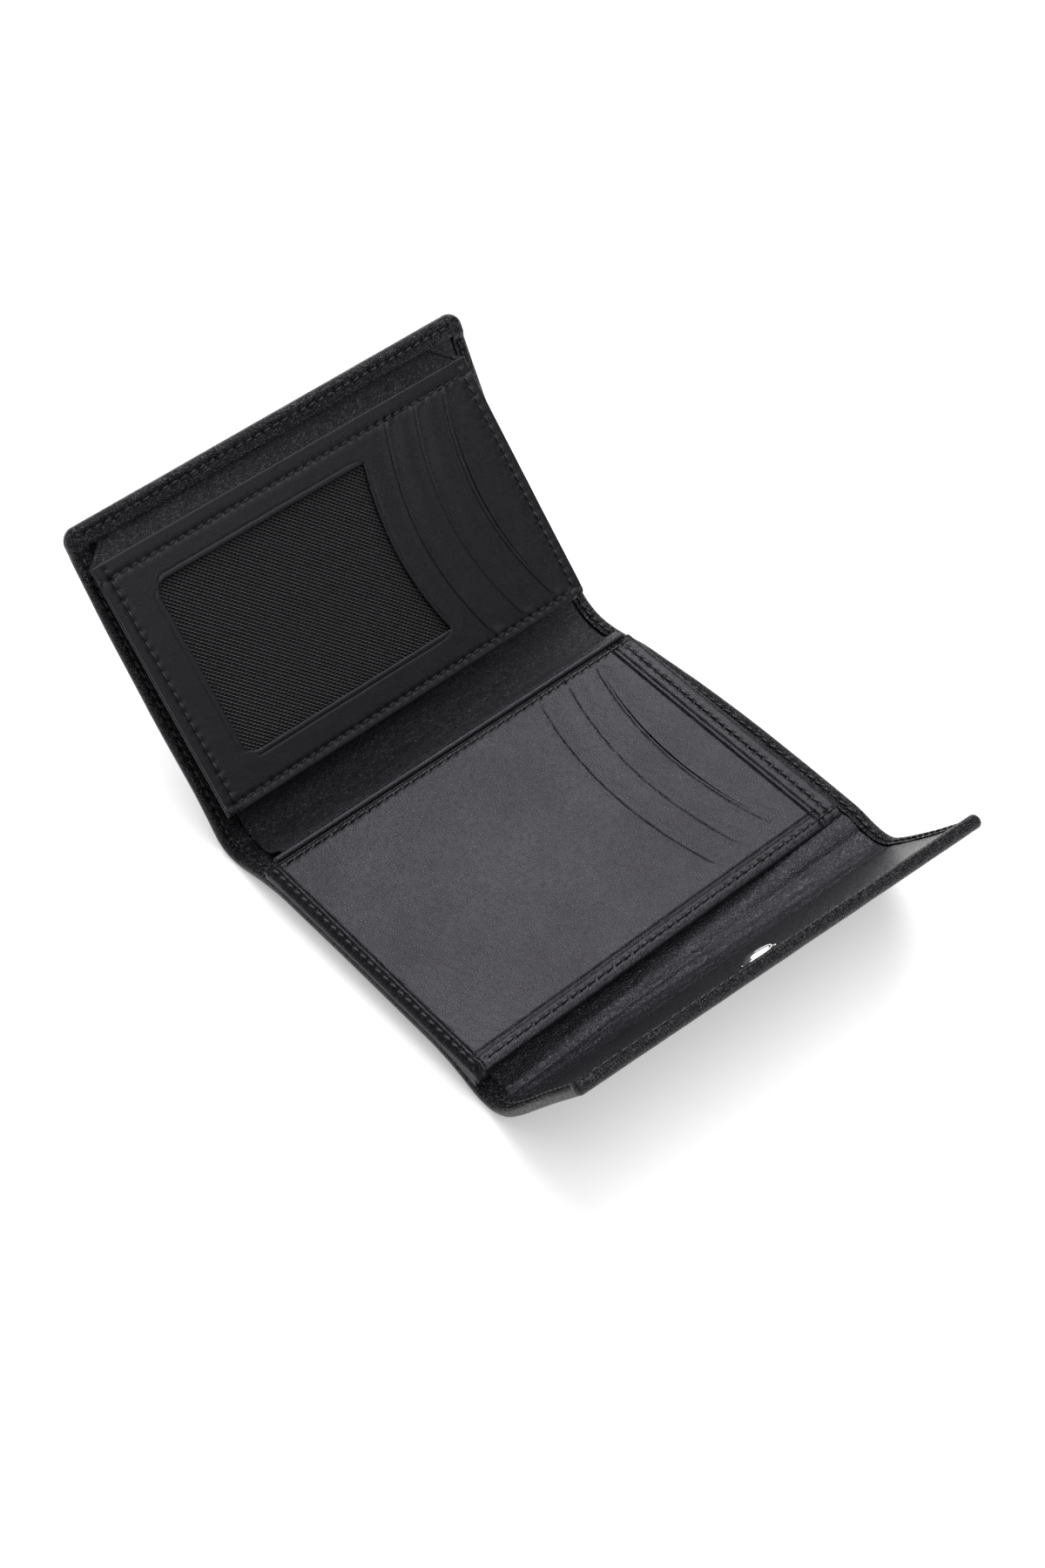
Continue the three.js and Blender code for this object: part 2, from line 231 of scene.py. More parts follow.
def lines(low, high, step, marks=()):
    """Grid values from low to high at most step apart, with one more at each mark."""
    even = np.linspace(low, high, int(math.ceil((high - low) / step)) + 1)
    values = np.unique(np.round(np.concatenate([even, list(marks)]), 4))
    values = values[(values > low + CLOSEST) & (values < high - CLOSEST)]
    values = np.concatenate([[low], values, [high]])
    return values[np.concatenate([[True], np.diff(values) > CLOSEST])]


RIM_STEPS = np.array([0, 0.02, 0.08, 0.2, 0.4, 0.7, 1.0])  # in radii


def rim_marks(edge, inward, radius):
    """Grid values that follow a rounded rim: close together at the edge, wider inwards."""
    return list(edge + inward * radius * RIM_STEPS)


def both_rims(ends, radius, inward=1):
    """The grid lines of the rims at both ends of a range, or of the hole between them if inward is -1."""
    return rim_marks(ends[0], inward, radius) + rim_marks(ends[1], -inward, radius)


LINE_GRID = (-0.45, -0.2, 0, 0.2, 0.45)


def marks_round(centres, offsets=LINE_GRID):
    """Grid lines on both sides of each pressed line or seam."""
    return [centre + offset for centre in centres for offset in offsets]


def round_corner(x, s, centre, signs, radius):
    """Rounds a square corner of a grid.

    With p and q the distances from centre in radii, the square is drawn on to a disc by
    p sqrt(1 - q q / 2), q sqrt(1 - p p / 2). Outside the square the shift fades out within one radius.
    """
    p = np.clip((x - centre[0]) * signs[0] / radius, 0, None)
    q = np.clip((s - centre[1]) * signs[1] / radius, 0, None)
    size = np.maximum(p, q)
    fade = 1 - ease(size, 1, 2)
    scale = np.maximum(size, 1)
    u, v = p / scale, q / scale
    new_p = u * np.sqrt(1 - v * v / 2) * scale
    new_q = v * np.sqrt(1 - u * u / 2) * scale
    x = x + signs[0] * radius * (new_p - p) * fade
    s = s + signs[1] * radius * (new_q - q) * fade
    return x, s


def edge_distance(x, s, x_range, s_range, radius=0.0):
    """Distance inwards from the edge of a rectangle whose corners have that radius."""
    qx = np.abs(x - np.mean(x_range)) - (x_range[1] - x_range[0]) / 2 + radius
    qs = np.abs(s - np.mean(s_range)) - (s_range[1] - s_range[0]) / 2 + radius
    outside = np.hypot(np.maximum(qx, 0), np.maximum(qs, 0))
    return radius - outside - np.minimum(np.maximum(qx, qs), 0)


def rim_drop(distance, radius):
    """How far a skin has come down towards the middle of a round rim: a quarter circle, from 0 to 1."""
    k = np.clip(1 - distance / radius, 0, 1)
    return 1 - np.sqrt(1 - k * k)


RIM_WALL = 0.06  # half the height of the wall left at a round rim


def rounded(low, high, distance, radius):
    """Upper and lower heights of a slab whose rim is round: both come to its middle height at the rim."""
    drop = rim_drop(distance, radius) * ((high - low) / 2 - RIM_WALL)
    return high - drop, low + drop


# ---- Meshes
SHARP = math.radians(42)  # an edge is shaded sharp if its faces meet at more than this


def add_mesh(name, points, faces, material):
    """A mesh object in metres from points in millimetres and quads. Points that no quad uses are left out."""
    used, faces = np.unique(faces, return_inverse=True)
    faces = faces.reshape(-1, 4).astype(np.int32)
    mesh = bpy.data.meshes.new(name)
    mesh.vertices.add(len(used))
    mesh.vertices.foreach_set("co", (points[used] * MM).astype(np.float32).ravel())
    mesh.loops.add(faces.size)
    mesh.loops.foreach_set("vertex_index", faces.ravel())
    mesh.polygons.add(len(faces))
    mesh.polygons.foreach_set("loop_start", np.arange(0, faces.size, 4, dtype=np.int32))
    mesh.polygons.foreach_set("use_smooth", np.ones(len(faces), bool))
    mesh.update(calc_edges=True)
    mesh.set_sharp_from_angle(angle=SHARP)
    mesh.materials.append(material)
    piece = bpy.data.objects.new(name, mesh)
    bpy.context.scene.collection.objects.link(piece)
    return piece


def slab(name, place, x, s, top, bottom, material, keep=None):
    """A closed slab between two height fields over a grid, with walls round it and round its holes."""
    rows, columns = x.shape
    count = rows * columns
    points = np.concatenate([place(x, s, top).reshape(-1, 3), place(x, s, bottom).reshape(-1, 3)])
    index = np.arange(count).reshape(rows, columns)
    kept = np.ones((rows - 1, columns - 1), bool) if keep is None else keep
    a, b, c, d = index[:-1, :-1], index[:-1, 1:], index[1:, 1:], index[1:, :-1]
    upper = np.stack([a, b, c, d], -1)[kept]
    lower = np.stack([d, c, b, a], -1)[kept] + count
    ring = np.pad(kept, 1)
    left, right = index[:, :-1], index[:, 1:]
    near, far = index[:-1, :], index[1:, :]
    below, above = ring[:-1, 1:-1], ring[1:, 1:-1]
    before, after = ring[1:-1, :-1], ring[1:-1, 1:]
    walls = [
        wall(left, right, above & ~below, count),
        wall(right, left, below & ~above, count),
        wall(far, near, after & ~before, count),
        wall(near, far, before & ~after, count),
    ]
    return add_mesh(name, points, np.concatenate([upper, lower, *walls]), material)


def wall(start, end, chosen, count):
    """Quads that join the upper and lower skins along the chosen grid edges."""
    return np.stack([start, start + count, end + count, end], -1)[chosen]


def tube(name, centres, sides, ups, radii, section, material):
    """A closed bar: the section's points (side, up) are carried along the centres, scaled by the radii."""
    ring = len(section)
    across = section[:, 0][None, :, None] * sides[:, None, :]
    upward = section[:, 1][None, :, None] * ups[:, None, :]
    points = centres[:, None, :] + radii[:, None, None] * (across + upward)
    index = np.arange(len(centres) * ring).reshape(len(centres), ring)
    around = np.roll(index, -1, axis=1)
    skin = np.stack([index[:-1], around[:-1], around[1:], index[1:]], -1).reshape(-1, 4)
    caps = [end_cap(index[0][::-1]), end_cap(index[-1])]
    return add_mesh(name, points.reshape(-1, 3), np.concatenate([skin, *caps]), material)


def end_cap(ring):
    """Quads across a ring with an even number of points, from one side to the other."""
    half = len(ring) // 2
    low, high = ring[: half], ring[::-1][: half]
    return np.stack([low[:-1], low[1:], high[1:], high[:-1]], -1)


def headings(path, axis):
    """Unit vectors along paths of points, whose order runs along the axis."""
    forward = np.gradient(path, axis=axis)
    return forward / np.linalg.norm(forward, axis=-1, keepdims=True)


def skins(index):
    """Quads between neighbouring rings of many threads; index has an axis each for thread, ring and point."""
    around = np.roll(index, -1, axis=2)
    return np.stack([index[:, :-1], index[:, 1:], around[:, 1:], around[:, :-1]], -1)


THREAD = 0.55  # its diameter
NEEDLE_SLANT = 7.0  # degrees between a stitch and its seam
STITCH_SHARE = 0.8  # of the pitch, above the leather


def seam(name, place, start, end, height):
    """A row of lockstitches from start to end in the place's own first two values.

    Each stitch is a short thread: rings along it swell as (1 - (2v - 1)^4) and its ends dip into the hole.
    """
    start, end = np.array(start, float), np.array(end, float)
    axis = int(np.argmax(np.abs(end - start)))
    for point in (start, end):
        point[axis] = round(point[axis] / STITCH_PITCH) * STITCH_PITCH  # needle holes lie on whole steps
    length = np.linalg.norm(end - start)
    number = max(1, int(round(length / STITCH_PITCH)))
    first = (np.arange(number) + (1 - STITCH_SHARE) / 2) / number
    v = np.array([0.0, 0.1, 0.3, 0.5, 0.7, 0.9, 1.0])
    t = first[:, None] + v[None, :] * STITCH_SHARE / number
    direction = (end - start) / length
    aside = (v - 0.5) * math.tan(math.radians(NEEDLE_SLANT)) * STITCH_PITCH
    x = start[0] + (end - start)[0] * t - direction[1] * aside
    s = start[1] + (end - start)[1] * t + direction[0] * aside
    dip = 0.22 * (2 * v - 1) ** 4
    centre = place(x, s, height - dip[None, :] + 0 * t)
    up = place(x, s, height + 1 + 0 * t) - place(x, s, height + 0 * t)
    side = np.cross(headings(centre, 1), up)
    radius = THREAD / 2 * np.sqrt(np.clip(1 - (2 * v - 1) ** 4, 0.02, 1))
    turn = np.arange(6) * math.pi / 3
    offset = np.cos(turn)[:, None] * side[:, :, None, :] + np.sin(turn)[:, None] * up[:, :, None, :]
    points = centre[:, :, None, :] + radius[None, :, None, None] * offset
    index = np.arange(points.size // 3).reshape(number, len(v), 6)
    caps = []
    for ring in (index[:, 0, :], index[:, -1, ::-1]):
        caps.append(ring[:, :4])
        caps.append(ring[:, [0, 3, 4, 5]])
    faces = np.concatenate([skins(index).reshape(-1, 4), *caps])
    return add_mesh(name, points.reshape(-1, 3), faces, THREADS)


# ---- Where the pieces go
def crease(joint, lean, before, after):
    """Two points in metres, before and after the joint, on a line through it that leans by degrees."""
    direction = np.array([0, math.cos(math.radians(lean)), math.sin(math.radians(lean))])
    centre = HINGE[joint]
    return (centre - before * direction) * MM, (centre + after * direction) * MM


FOLDS = {
    "rear_fold_1": ("middle_panel", "rear_spine", *crease("rear_spine_fold", 0, 5.4, 5.4)),
    "rear_fold_2": ("rear_spine", "back_panel", *crease("back_panel_fold", 28, 5.2, 7)),
    "front_fold_1": ("middle_panel", "front_spine", *crease("front_spine_fold", 159, 5, 5.2)),
    "front_fold_2": ("front_spine", "front_flap", *crease("flap_fold", 132, 4, 6)),
}


def attach(piece, where, slot, *nodes):
    """Lets a piece ride on a body, or bakes its place into its mesh where it lies across a fold, and hides
    the nodes it stands for. The finish it is given is not used.
    """
    if where in FOLDS:
        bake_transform(piece)
    else:
        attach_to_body(piece, where)
    if nodes:
        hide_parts(*nodes)
    return piece


# ---- Materials
def linear(code):
    """An sRGB hex colour as linear RGBA."""
    values = np.array([int(code[i : i + 2], 16) for i in (1, 3, 5)]) / 255
    values = np.where(values <= 0.04045, values / 12.92, ((values + 0.055) / 1.055) ** 2.4)
    return (*values.tolist(), 1.0)


def node(tree, kind, inputs=None, **settings):
    """Adds a shader node. Its inputs are values, or the outputs they are linked from."""
    made = tree.nodes.new("ShaderNode" + kind)
    for key, value in settings.items():
        setattr(made, key, value)
    for key, value in (inputs or {}).items():
        if isinstance(value, bpy.types.NodeSocket):
            tree.links.new(value, made.inputs[key])
        else:
            made.inputs[key].default_value = value
    return made


def new_material(name):
    """An empty node material and its tree."""
    material = bpy.data.materials.new(name)
    material.use_nodes = True
    material.node_tree.nodes.clear()
    return material, material.node_tree


def per_mm(size):
    """The texture scale at which one cell is size millimetres wide."""
    return 1 / (size * MM)


def leather(name, colours, grain, relief, roughness, spread, crumple=0.0, shine_level=0.5, stretch=(1, 1, 1)):
    """Dyed calf leather: pebbled grain cells, finer pores, and a finish that is unevenly polished.

    colours are the dye and the crown of the grain, grain is the cell size and relief its depth. Roughness
    goes up and down by spread in clouds, and the crowns are smoother by twice the spread. crumple adds soft
    wrinkles 1.8 mm apart, as a share of the relief.
    """
    material, tree = new_material(name)
    place = node(tree, "TexCoord").outputs["Object"]
    place = node(tree, "Mapping", {"Vector": place, "Scale": stretch}).outputs["Vector"]
    cells = node(tree, "TexVoronoi", {"Vector": place, "Scale": per_mm(grain), "Randomness": 0.9},
                 feature="DISTANCE_TO_EDGE").outputs["Distance"]
    pores = node(tree, "TexNoise", {"Vector": place, "Scale": per_mm(grain * 0.45), "Detail": 3.0})
    cloud = node(tree, "TexNoise", {"Vector": place, "Scale": per_mm(17), "Detail": 4.0, "Roughness": 0.6})
    crown = node(tree, "MapRange", {"Value": cells, "From Max": 0.32}, interpolation_type="SMOOTHSTEP")
    height = node(tree, "Math", {0: pores.outputs["Fac"], 1: 0.55, 2: crown.outputs["Result"]},
                  operation="MULTIPLY_ADD")
    wrinkles = node(tree, "TexNoise", {"Vector": place, "Scale": per_mm(1.8), "Detail": 2.0})
    height = node(tree, "Math", {0: wrinkles.outputs["Fac"], 1: crumple * 3, 2: height.outputs["Value"]},
                  operation="MULTIPLY_ADD")
    bump = node(tree, "Bump", {"Height": height.outputs["Value"], "Strength": 1.0, "Distance": relief * MM})
    tint = node(tree, "Math", {0: crown.outputs["Result"], 1: cloud.outputs["Fac"]}, operation="MULTIPLY")
    colour = plain_mix(tree, tint.outputs["Value"], *colours)
    shine = node(tree, "MapRange", {"Value": cloud.outputs["Fac"], "From Min": 0.3, "From Max": 0.7,
                                    "To Min": roughness - spread, "To Max": roughness + spread})
    polish = node(tree, "Math", {0: crown.outputs["Result"], 1: -2 * spread, 2: shine.outputs["Result"]},
                  operation="MULTIPLY_ADD")
    shader = node(tree, "BsdfPrincipled", {
        "Base Color": colour,
        "Roughness": polish.outputs["Value"],
        "Normal": bump.outputs["Normal"],
        "IOR": 1.5,
        "Specular IOR Level": shine_level,
        "Specular Tint": linear("#f6f3ff"),
    })
    node(tree, "OutputMaterial", {"Surface": shader.outputs["BSDF"]})
    return material


def plain_mix(tree, factor, low, high):
    """A colour between two sRGB colours by a factor."""
    mix = node(tree, "Mix", {0: factor, 6: linear(low), 7: linear(high)}, data_type="RGBA")
    return mix.outputs[2]


def surface(tree, height, colours, strength, depth, inputs):
    """The last nodes of a plain material: its bump, depth mm deep, and its colour both follow one height."""
    bump = node(tree, "Bump", {"Height": height, "Strength": strength, "Distance": depth * MM})
    colour = plain_mix(tree, height, *colours)
    shader = node(tree, "BsdfPrincipled", {"Base Color": colour, "Normal": bump.outputs["Normal"], **inputs})
    node(tree, "OutputMaterial", {"Surface": shader.outputs["BSDF"]})


def polyester_thread():
    """Black bonded polyester sewing thread: waxy dark dashes, with the fine lay of their plies."""
    material, tree = new_material("bonded_polyester_thread")
    place = node(tree, "TexCoord").outputs["Object"]
    plies = node(tree, "TexNoise", {"Vector": place, "Scale": per_mm(0.12), "Detail": 1.0})
    surface(tree, plies.outputs["Fac"], ("#050506", "#101012"), 0.7, 0.05, {"Roughness": 0.5})
    return material


def nylon_mesh():
    """Extruded nylon mesh yarn: grey glints painted on black in random patches, with a soft plastic shine."""
    material, tree = new_material("nylon_mesh_yarn")
    place = node(tree, "TexCoord").outputs["Object"]
    # the grey patches of the colour are painted glints
    painted_glints = node(tree, "TexNoise", {"Vector": place, "Scale": per_mm(0.9), "Detail": 2.0})
    surface(tree, painted_glints.outputs["Fac"], ("#1f1f21", "#58585c"), 0.3, 0.03, {"Roughness": 0.42})
    return material


def woven_cloth():
    """Plain woven pocket cloth: a dull black ground of two sets of threads, 0.35 mm apart."""
    material, tree = new_material("plain_woven_pocket_cloth")
    place = node(tree, "TexCoord").outputs["Object"]
    spacing = per_mm(0.35) * math.tau / 20  # a Wave texture at scale 1 repeats 20 times in 2 pi
    warp = node(tree, "TexWave", {"Vector": place, "Scale": spacing, "Distortion": 0.4}, bands_direction="X")
    weft = node(tree, "TexWave", {"Vector": place, "Scale": spacing, "Distortion": 0.4}, bands_direction="Y")
    weave = node(tree, "Math", {0: warp.outputs["Fac"], 1: weft.outputs["Fac"]}, operation="MULTIPLY")
    surface(tree, weave.outputs["Value"], ("#060606", "#151516"), 0.8, 0.08,
            {"Roughness": 0.85, "Specular IOR Level": 0.15})
    return material


def fibre_board():
    """Bonded leather-fibre board: mottled brown fibres pressed flat."""
    material, tree = new_material("bonded_fibre_board")
    place = node(tree, "TexCoord").outputs["Object"]
    fibres = node(tree, "TexNoise", {"Vector": place, "Scale": per_mm(0.8), "Detail": 5.0})
    surface(tree, fibres.outputs["Fac"], ("#4d463c", "#7d7364"), 0.5, 0.1, {"Roughness": 0.9})
    return material


def polished_nickel():
    """Nickel-plated zinc: a bright mirror, with faint hairlines."""
    material, tree = new_material("polished_nickel_plate")
    place = node(tree, "TexCoord").outputs["Object"]
    hairlines = node(tree, "Mapping", {"Vector": place, "Scale": (1, 9, 9)}).outputs["Vector"]
    scratch = node(tree, "TexNoise", {"Vector": hairlines, "Scale": per_mm(1.2), "Detail": 3.0})
    shine = node(tree, "MapRange", {"Value": scratch.outputs["Fac"], "To Min": 0.06, "To Max": 0.2})
    surface(tree, scratch.outputs["Fac"], ("#cfcfd2", "#e9e8e6"), 0.15, 0.02,
            {"Metallic": 1.0, "Roughness": shine.outputs["Result"]})
    return material


# What each leather gives the eye: OUTER is the darkest, with a coarse corrected grain that glints along the
# hems. PANEL is a smooth grey-black that carries the broad sheen. POUCH is matt. LINING is soft and creased,
# with its grain drawn out along the folds, and FRONT_LINING is the same hide pressed flatter.
OUTER = leather("corrected_grain_shell_leather", ("#070708", "#111113"), 0.6, 0.15, 0.33, 0.06,
                crumple=0.8, shine_level=0.33)
PANEL = leather("smooth_panel_leather", ("#0b090d", "#1f1d22"), 0.6, 0.045, 0.44, 0.07, shine_level=0.37)
POUCH = leather("matt_pouch_leather", ("#09090b", "#121214"), 0.4, 0.03, 0.44, 0.04, shine_level=0.34)
LINING = leather("soft_lining_leather", ("#100e11", "#201d22"), 0.5, 0.12, 0.36, 0.06,
                 crumple=0.5, shine_level=0.5, stretch=(1, 1.8, 1.8))
FRONT_LINING = leather("pressed_front_lining_leather", ("#110f13", "#222025"), 0.5, 0.09, 0.35, 0.05,
                       crumple=0.6, shine_level=0.45)
THREADS = polyester_thread()
MESH_YARN = nylon_mesh()
CLOTH = woven_cloth()
BOARD = fibre_board()
NICKEL = polished_nickel()


# ---- Outer leather with its turned hems
PLEAT = 1.9  # from one pleat to the next, where a hem is bent
PLEAT_DEPTH = 0.13


def hem_relief(x, s):
    """Small unevenness of a turned hem: needle dips along the seam, and pleats where it is bent."""
    from_edge = HALF - np.abs(x)
    dips = stitch_dips(from_edge - HEM_SEAM, s)
    bent = bell(s - REAR_CUT - 2, 6) + bell(s - FRONT_CUT, 6)
    pleats = PLEAT_DEPTH * np.sin(2 * math.pi * s / PLEAT + 2 * np.sin(s / 3)) * bent
    swell = 0.08 * ripple(x, s, 9) + pucker(from_edge - HEM_SEAM, s)
    return (pleats + swell) * ease(from_edge, 0.2, 1.2) - dips


SEAM_GRID = np.array([-0.8, -0.4, 0, 0.4, 0.8])  # grid lines on both sides of a seam


def shell_slab(name, s_range, where, rounded_top, *nodes):
    """Outer leather between two values of s, with hems turned over along its free sides."""
    hems = (-HALF + HEM_WIDTH, HALF - OPEN_HEM_WIDTH)
    x_marks = both_rims((-HALF, HALF), RIM) + marks_round(hems, (-0.05, 0.05))
    x_marks += marks_round((-HALF + HEM_SEAM, HALF - HEM_SEAM), (-1.2, *SEAM_GRID, 1.2))
    s_marks = []
    if rounded_top:
        s_marks += rim_marks(BACK_TOP, -1, RIM) + marks_round([BACK_TOP - TOP_HEM_WIDTH], (-0.05, 0.05, 0.3))
        s_marks += marks_round([BACK_TOP - HEM_SEAM], (*SEAM_GRID, -0.2, 0.2))
    x_step = 0.6 if rounded_top else 2.5
    x, s = np.meshgrid(lines(-HALF, HALF, x_step, x_marks), lines(*s_range, 0.42, s_marks))
    inward = HALF - np.abs(x)
    if rounded_top:
        for side in (-1, 1):
            x, s = round_corner(x, s, (side * (HALF - CORNER), BACK_TOP - CORNER), (side, 1), CORNER)
        inward = edge_distance(x, s, (-HALF, HALF), (s_range[0] - 2 * HEM_WIDTH, BACK_TOP), CORNER)
    top_hem = (s > BACK_TOP - TOP_HEM_WIDTH) & rounded_top
    side_hem = (x < hems[0]) | (x > hems[1])
    rise = TOP_HEM_RISE * ease(s, BACK_TOP - TOP_HEM_WIDTH - 2, BACK_TOP - TOP_HEM_WIDTH + 0.2)
    high = np.where(side_hem | top_hem, HEM_TOP + rise + hem_relief(x, s), LEATHER)
    from_top = BACK_TOP - s - HEM_SEAM
    top_relief = pucker(from_top, x) - stitch_dips(from_top, x) - 0.35 * ease(-from_top, -2.2, -3.2)
    high = high + np.where(top_hem & ~side_hem, top_relief, 0)
    top, bottom = rounded(0 * x, high, inward, RIM)
    piece = slab(name, on_shell, x, s, top, bottom, OUTER)
    return attach(piece, where, "outer_leather", *nodes)


def outer_leather():
    """The outer leather in four lengths, cut where a joint's bend has ended and the next has not begun."""
    shell_slab("outer_leather_middle_rear", (0, REAR_CUT), "rear_fold_1", False,
               "middle_outer_leather", "middle_hem_closed_end", "middle_hem_open_end",
               "rear_fold_outer_leather", "rear_fold_hem_closed_end", "rear_fold_hem_open_end")
    shell_slab("outer_leather_back", (REAR_CUT, BACK_TOP), "rear_fold_2", True,
               "back_outer_leather", "back_hem_closed_end", "back_hem_open_end", "back_top_hem")
    shell_slab("outer_leather_middle_front", (FRONT_CUT, 0), "front_fold_1", False,
               "front_fold_outer_leather", "front_fold_hem_closed_end", "front_fold_hem_open_end")
    shell_slab("outer_leather_flap", (FLAP_EDGE + 1.5, FRONT_CUT), "front_fold_2", False,
               "flap_outer_leather", "flap_hem_closed_end", "flap_hem_open_end")


# ---- Plain sheets: linings, boards, liners
ALL_SIDES = ("left", "right", "low", "high")
SHEET_RIM = 0.4  # widest radius of a sheet's rounded edge


def side_distance(x, s, x_range, s_range, sides):
    """Distance to the nearest of the chosen sides of a rectangle."""
    each = {"left": x - x_range[0], "right": x_range[1] - x, "low": s - s_range[0], "high": s_range[1] - s}
    return np.min([each[side] for side in sides], axis=0)


def sheet(name, place, x_range, s_range, low, high, material, sides=ALL_SIDES, step=(2.0, 2.0)):
    """A slab over a rectangle whose chosen sides have round rims; low and high are functions of x and s."""
    x_marks = [v for side, edge, way in (("left", x_range[0], 1), ("right", x_range[1], -1))
               if side in sides for v in rim_marks(edge, way, SHEET_RIM)]
    s_marks = [v for side, edge, way in (("low", s_range[0], 1), ("high", s_range[1], -1))
               if side in sides for v in rim_marks(edge, way, SHEET_RIM)]
    x, s = np.meshgrid(lines(*x_range, step[0], x_marks), lines(*s_range, step[1], s_marks))
    distance = side_distance(x, s, x_range, s_range, sides)
    top, bottom = rounded(low(x, s), high(x, s), distance, SHEET_RIM)
    return slab(name, place, x, s, top, bottom, material)


def flat(value):
    """A height that is the same everywhere."""
    return lambda x, s: value + 0 * x


def shell_height(x, s):
    """How high the outer face lies above the table."""
    return on_shell(x, s, 0 * x)[..., 2]


LINING_TOP = 2.05
LINING_THICK = 0.6
LINING_X = (-HALF + HEM_WIDTH + 0.1, HALF - OPEN_HEM_WIDTH - 0.1)
REAR_LINING_X = (-48.0, LINING_X[1])  # cut narrower at the closed end
ROOF_LIP = 0.75  # how far the roof's open end turns up beside the card panel


def rear_lining_top(x, s):
    """The rear lining hangs from the piping, falls into the fold and then lies on the back panel."""
    hung = CARD_HIGH - 1.1 - shell_height(x, s)
    fall = ease(s, CARD_Y[1] - 0.5, CARD_Y[1] + 7)
    lying = LINING_TOP - 0.45 * bell(s - REAR_CUT, 6)
    return hung * (1 - fall) + lying * fall + 0.06 * ripple(x, s, 7) * bell(s - REAR_CUT, 6)


def front_lining_top(x, s):
    """The front lining lies in the fold, and is held up to the card panel at the open end."""
    held = ease(x, 24, 49) * ease(s, FRONT_1 - 1.5, FRONT_1 + 4.5)
    lift = np.clip(CARD_LOW - 0.25 - shell_height(x, s) - LINING_TOP, 0, None) * held
    folds = 0.35 * bell(s - FRONT_1 + 2.4, 0.6) - 0.4 * bell(s - FRONT_1 - 0.2, 1.3)
    folds = folds + 0.25 * bell(s - FRONT_2 + 0.3, 0.7)
    soft = 0.12 * ripple(x, s, 6) * bell(s - FRONT_CUT, 6) + 0.08 * np.sin(s * 1.7 + x * 0.16)
    return LINING_TOP + lift - folds + soft * bell(s - FRONT_CUT, 7)


def under(top):
    """The lower face of a lining whose upper face is top."""
    return lambda x, s: top(x, s) - LINING_THICK


def linings():
    """Soft linings inside the folds and panels, cut like the outer leather."""
    for name, cad, where, x_range, s_range, top, material, step in (
        ("rear_lining_fold", "rear_fold_lining", "rear_fold_1", REAR_LINING_X,
         (CARD_Y[1] - 0.4, REAR_CUT), rear_lining_top, LINING, (1.0, 0.4)),
        ("back_lining_leather", "back_lining", "rear_fold_2", REAR_LINING_X,
         (REAR_CUT, BACK_TOP - HEM_WIDTH - 0.2), rear_lining_top, LINING, (1.0, 0.5)),
        ("front_lining_fold", "front_fold_lining", "front_fold_1", LINING_X,
         (FRONT_CUT, FRONT_1 + 16), front_lining_top, FRONT_LINING, (0.8, 0.35)),
        ("flap_lining_leather", "flap_lining", "front_fold_2", LINING_X,
         (FLAP_EDGE + 2.6, FRONT_CUT), front_lining_top, FRONT_LINING, (0.8, 0.35)),
    ):
        lining = sheet(name, on_shell, x_range, s_range, under(top), top, material, ("left", "right"), step)
        attach(lining, where, "lining_leather", cad)

    def roof_height(x, y):
        return CARD_LOW - 0.2 + ROOF_LIP * ease(x, CARD_X[1] + 0.1, CARD_X[1] + 0.6)

    roof = sheet("banknote_roof_lining", on_level, (CARD_X[0] + 3.6, CARD_X[1] + 1.0),
                 (CARD_Y[0] + 2.5, CARD_Y[1] - 0.8), under(roof_height), roof_height, LINING)
    attach(roof, "middle_panel", "lining_leather", "middle_lining")


def boards():
    """Stiffening boards, glued between outer leather and lining."""
    low, high = LEATHER + 0.05, LINING_TOP - LINING_THICK - 0.25
    x_range = (REAR_LINING_X[0] + 1, LINING_X[1] - 1)
    for name, body, s_range, cad in (
        ("middle_stiffener", "middle_panel", (FRONT_1 + 6, REAR_1 - 6), "middle_board"),
        ("back_stiffener", "back_panel", (REAR_2 + 7, BACK_TOP - HEM_WIDTH - 1), "back_board"),
        ("flap_stiffener", "front_flap", (FLAP_EDGE + 5, FRONT_2 - 7), "flap_board"),
    ):
        board = sheet(name, on_shell, x_range, s_range, flat(low), flat(high), BOARD, step=(4.0, 2.0))
        attach(board, body, "stiffening_board", cad)


# ---- Bowed cuts: card slits and the window's side
def bowed(t, bow):
    """Sideways shift of a bowed line at t from 0 to 1 along it: a parabola, and none beyond its ends."""
    t = np.clip(t, 0, 1)
    return bow * 4 * t * (1 - t)


Cut = namedtuple("Cut", "low high bow gape")  # its two ends, its bow, and how far it gapes


def warp_columns(u, s, cuts, fixed):
    """Moves grid columns sideways so that each cut's own column follows the cut.

    Between cuts the shift is in proportion, and there is none at the fixed values.
    """
    knots = sorted([cut.low[0] for cut in cuts] + list(fixed))
    shift = 0 * u
    for cut in cuts:
        share = np.interp(u, knots, [1.0 if k == cut.low[0] else 0.0 for k in knots])
        t = np.clip((s - cut.low[1]) / (cut.high[1] - cut.low[1]), 0, 1)
        lean = (cut.high[0] - cut.low[0]) * t
        shift = shift + share * (lean + bowed(t, cut.bow))
    return u + shift


SLIT_HALF = 0.16


def slit_columns(cuts):
    """Grid columns round each slit: its two lips and the crease beside it."""
    offsets = (-2.2, -1.5, -1.3, -1.1, -0.9, -0.7, -0.4, -SLIT_HALF, SLIT_HALF, 0.4, 0.7, 1.1, 1.8, 3)
    return marks_round([cut.low[0] for cut in cuts], offsets)


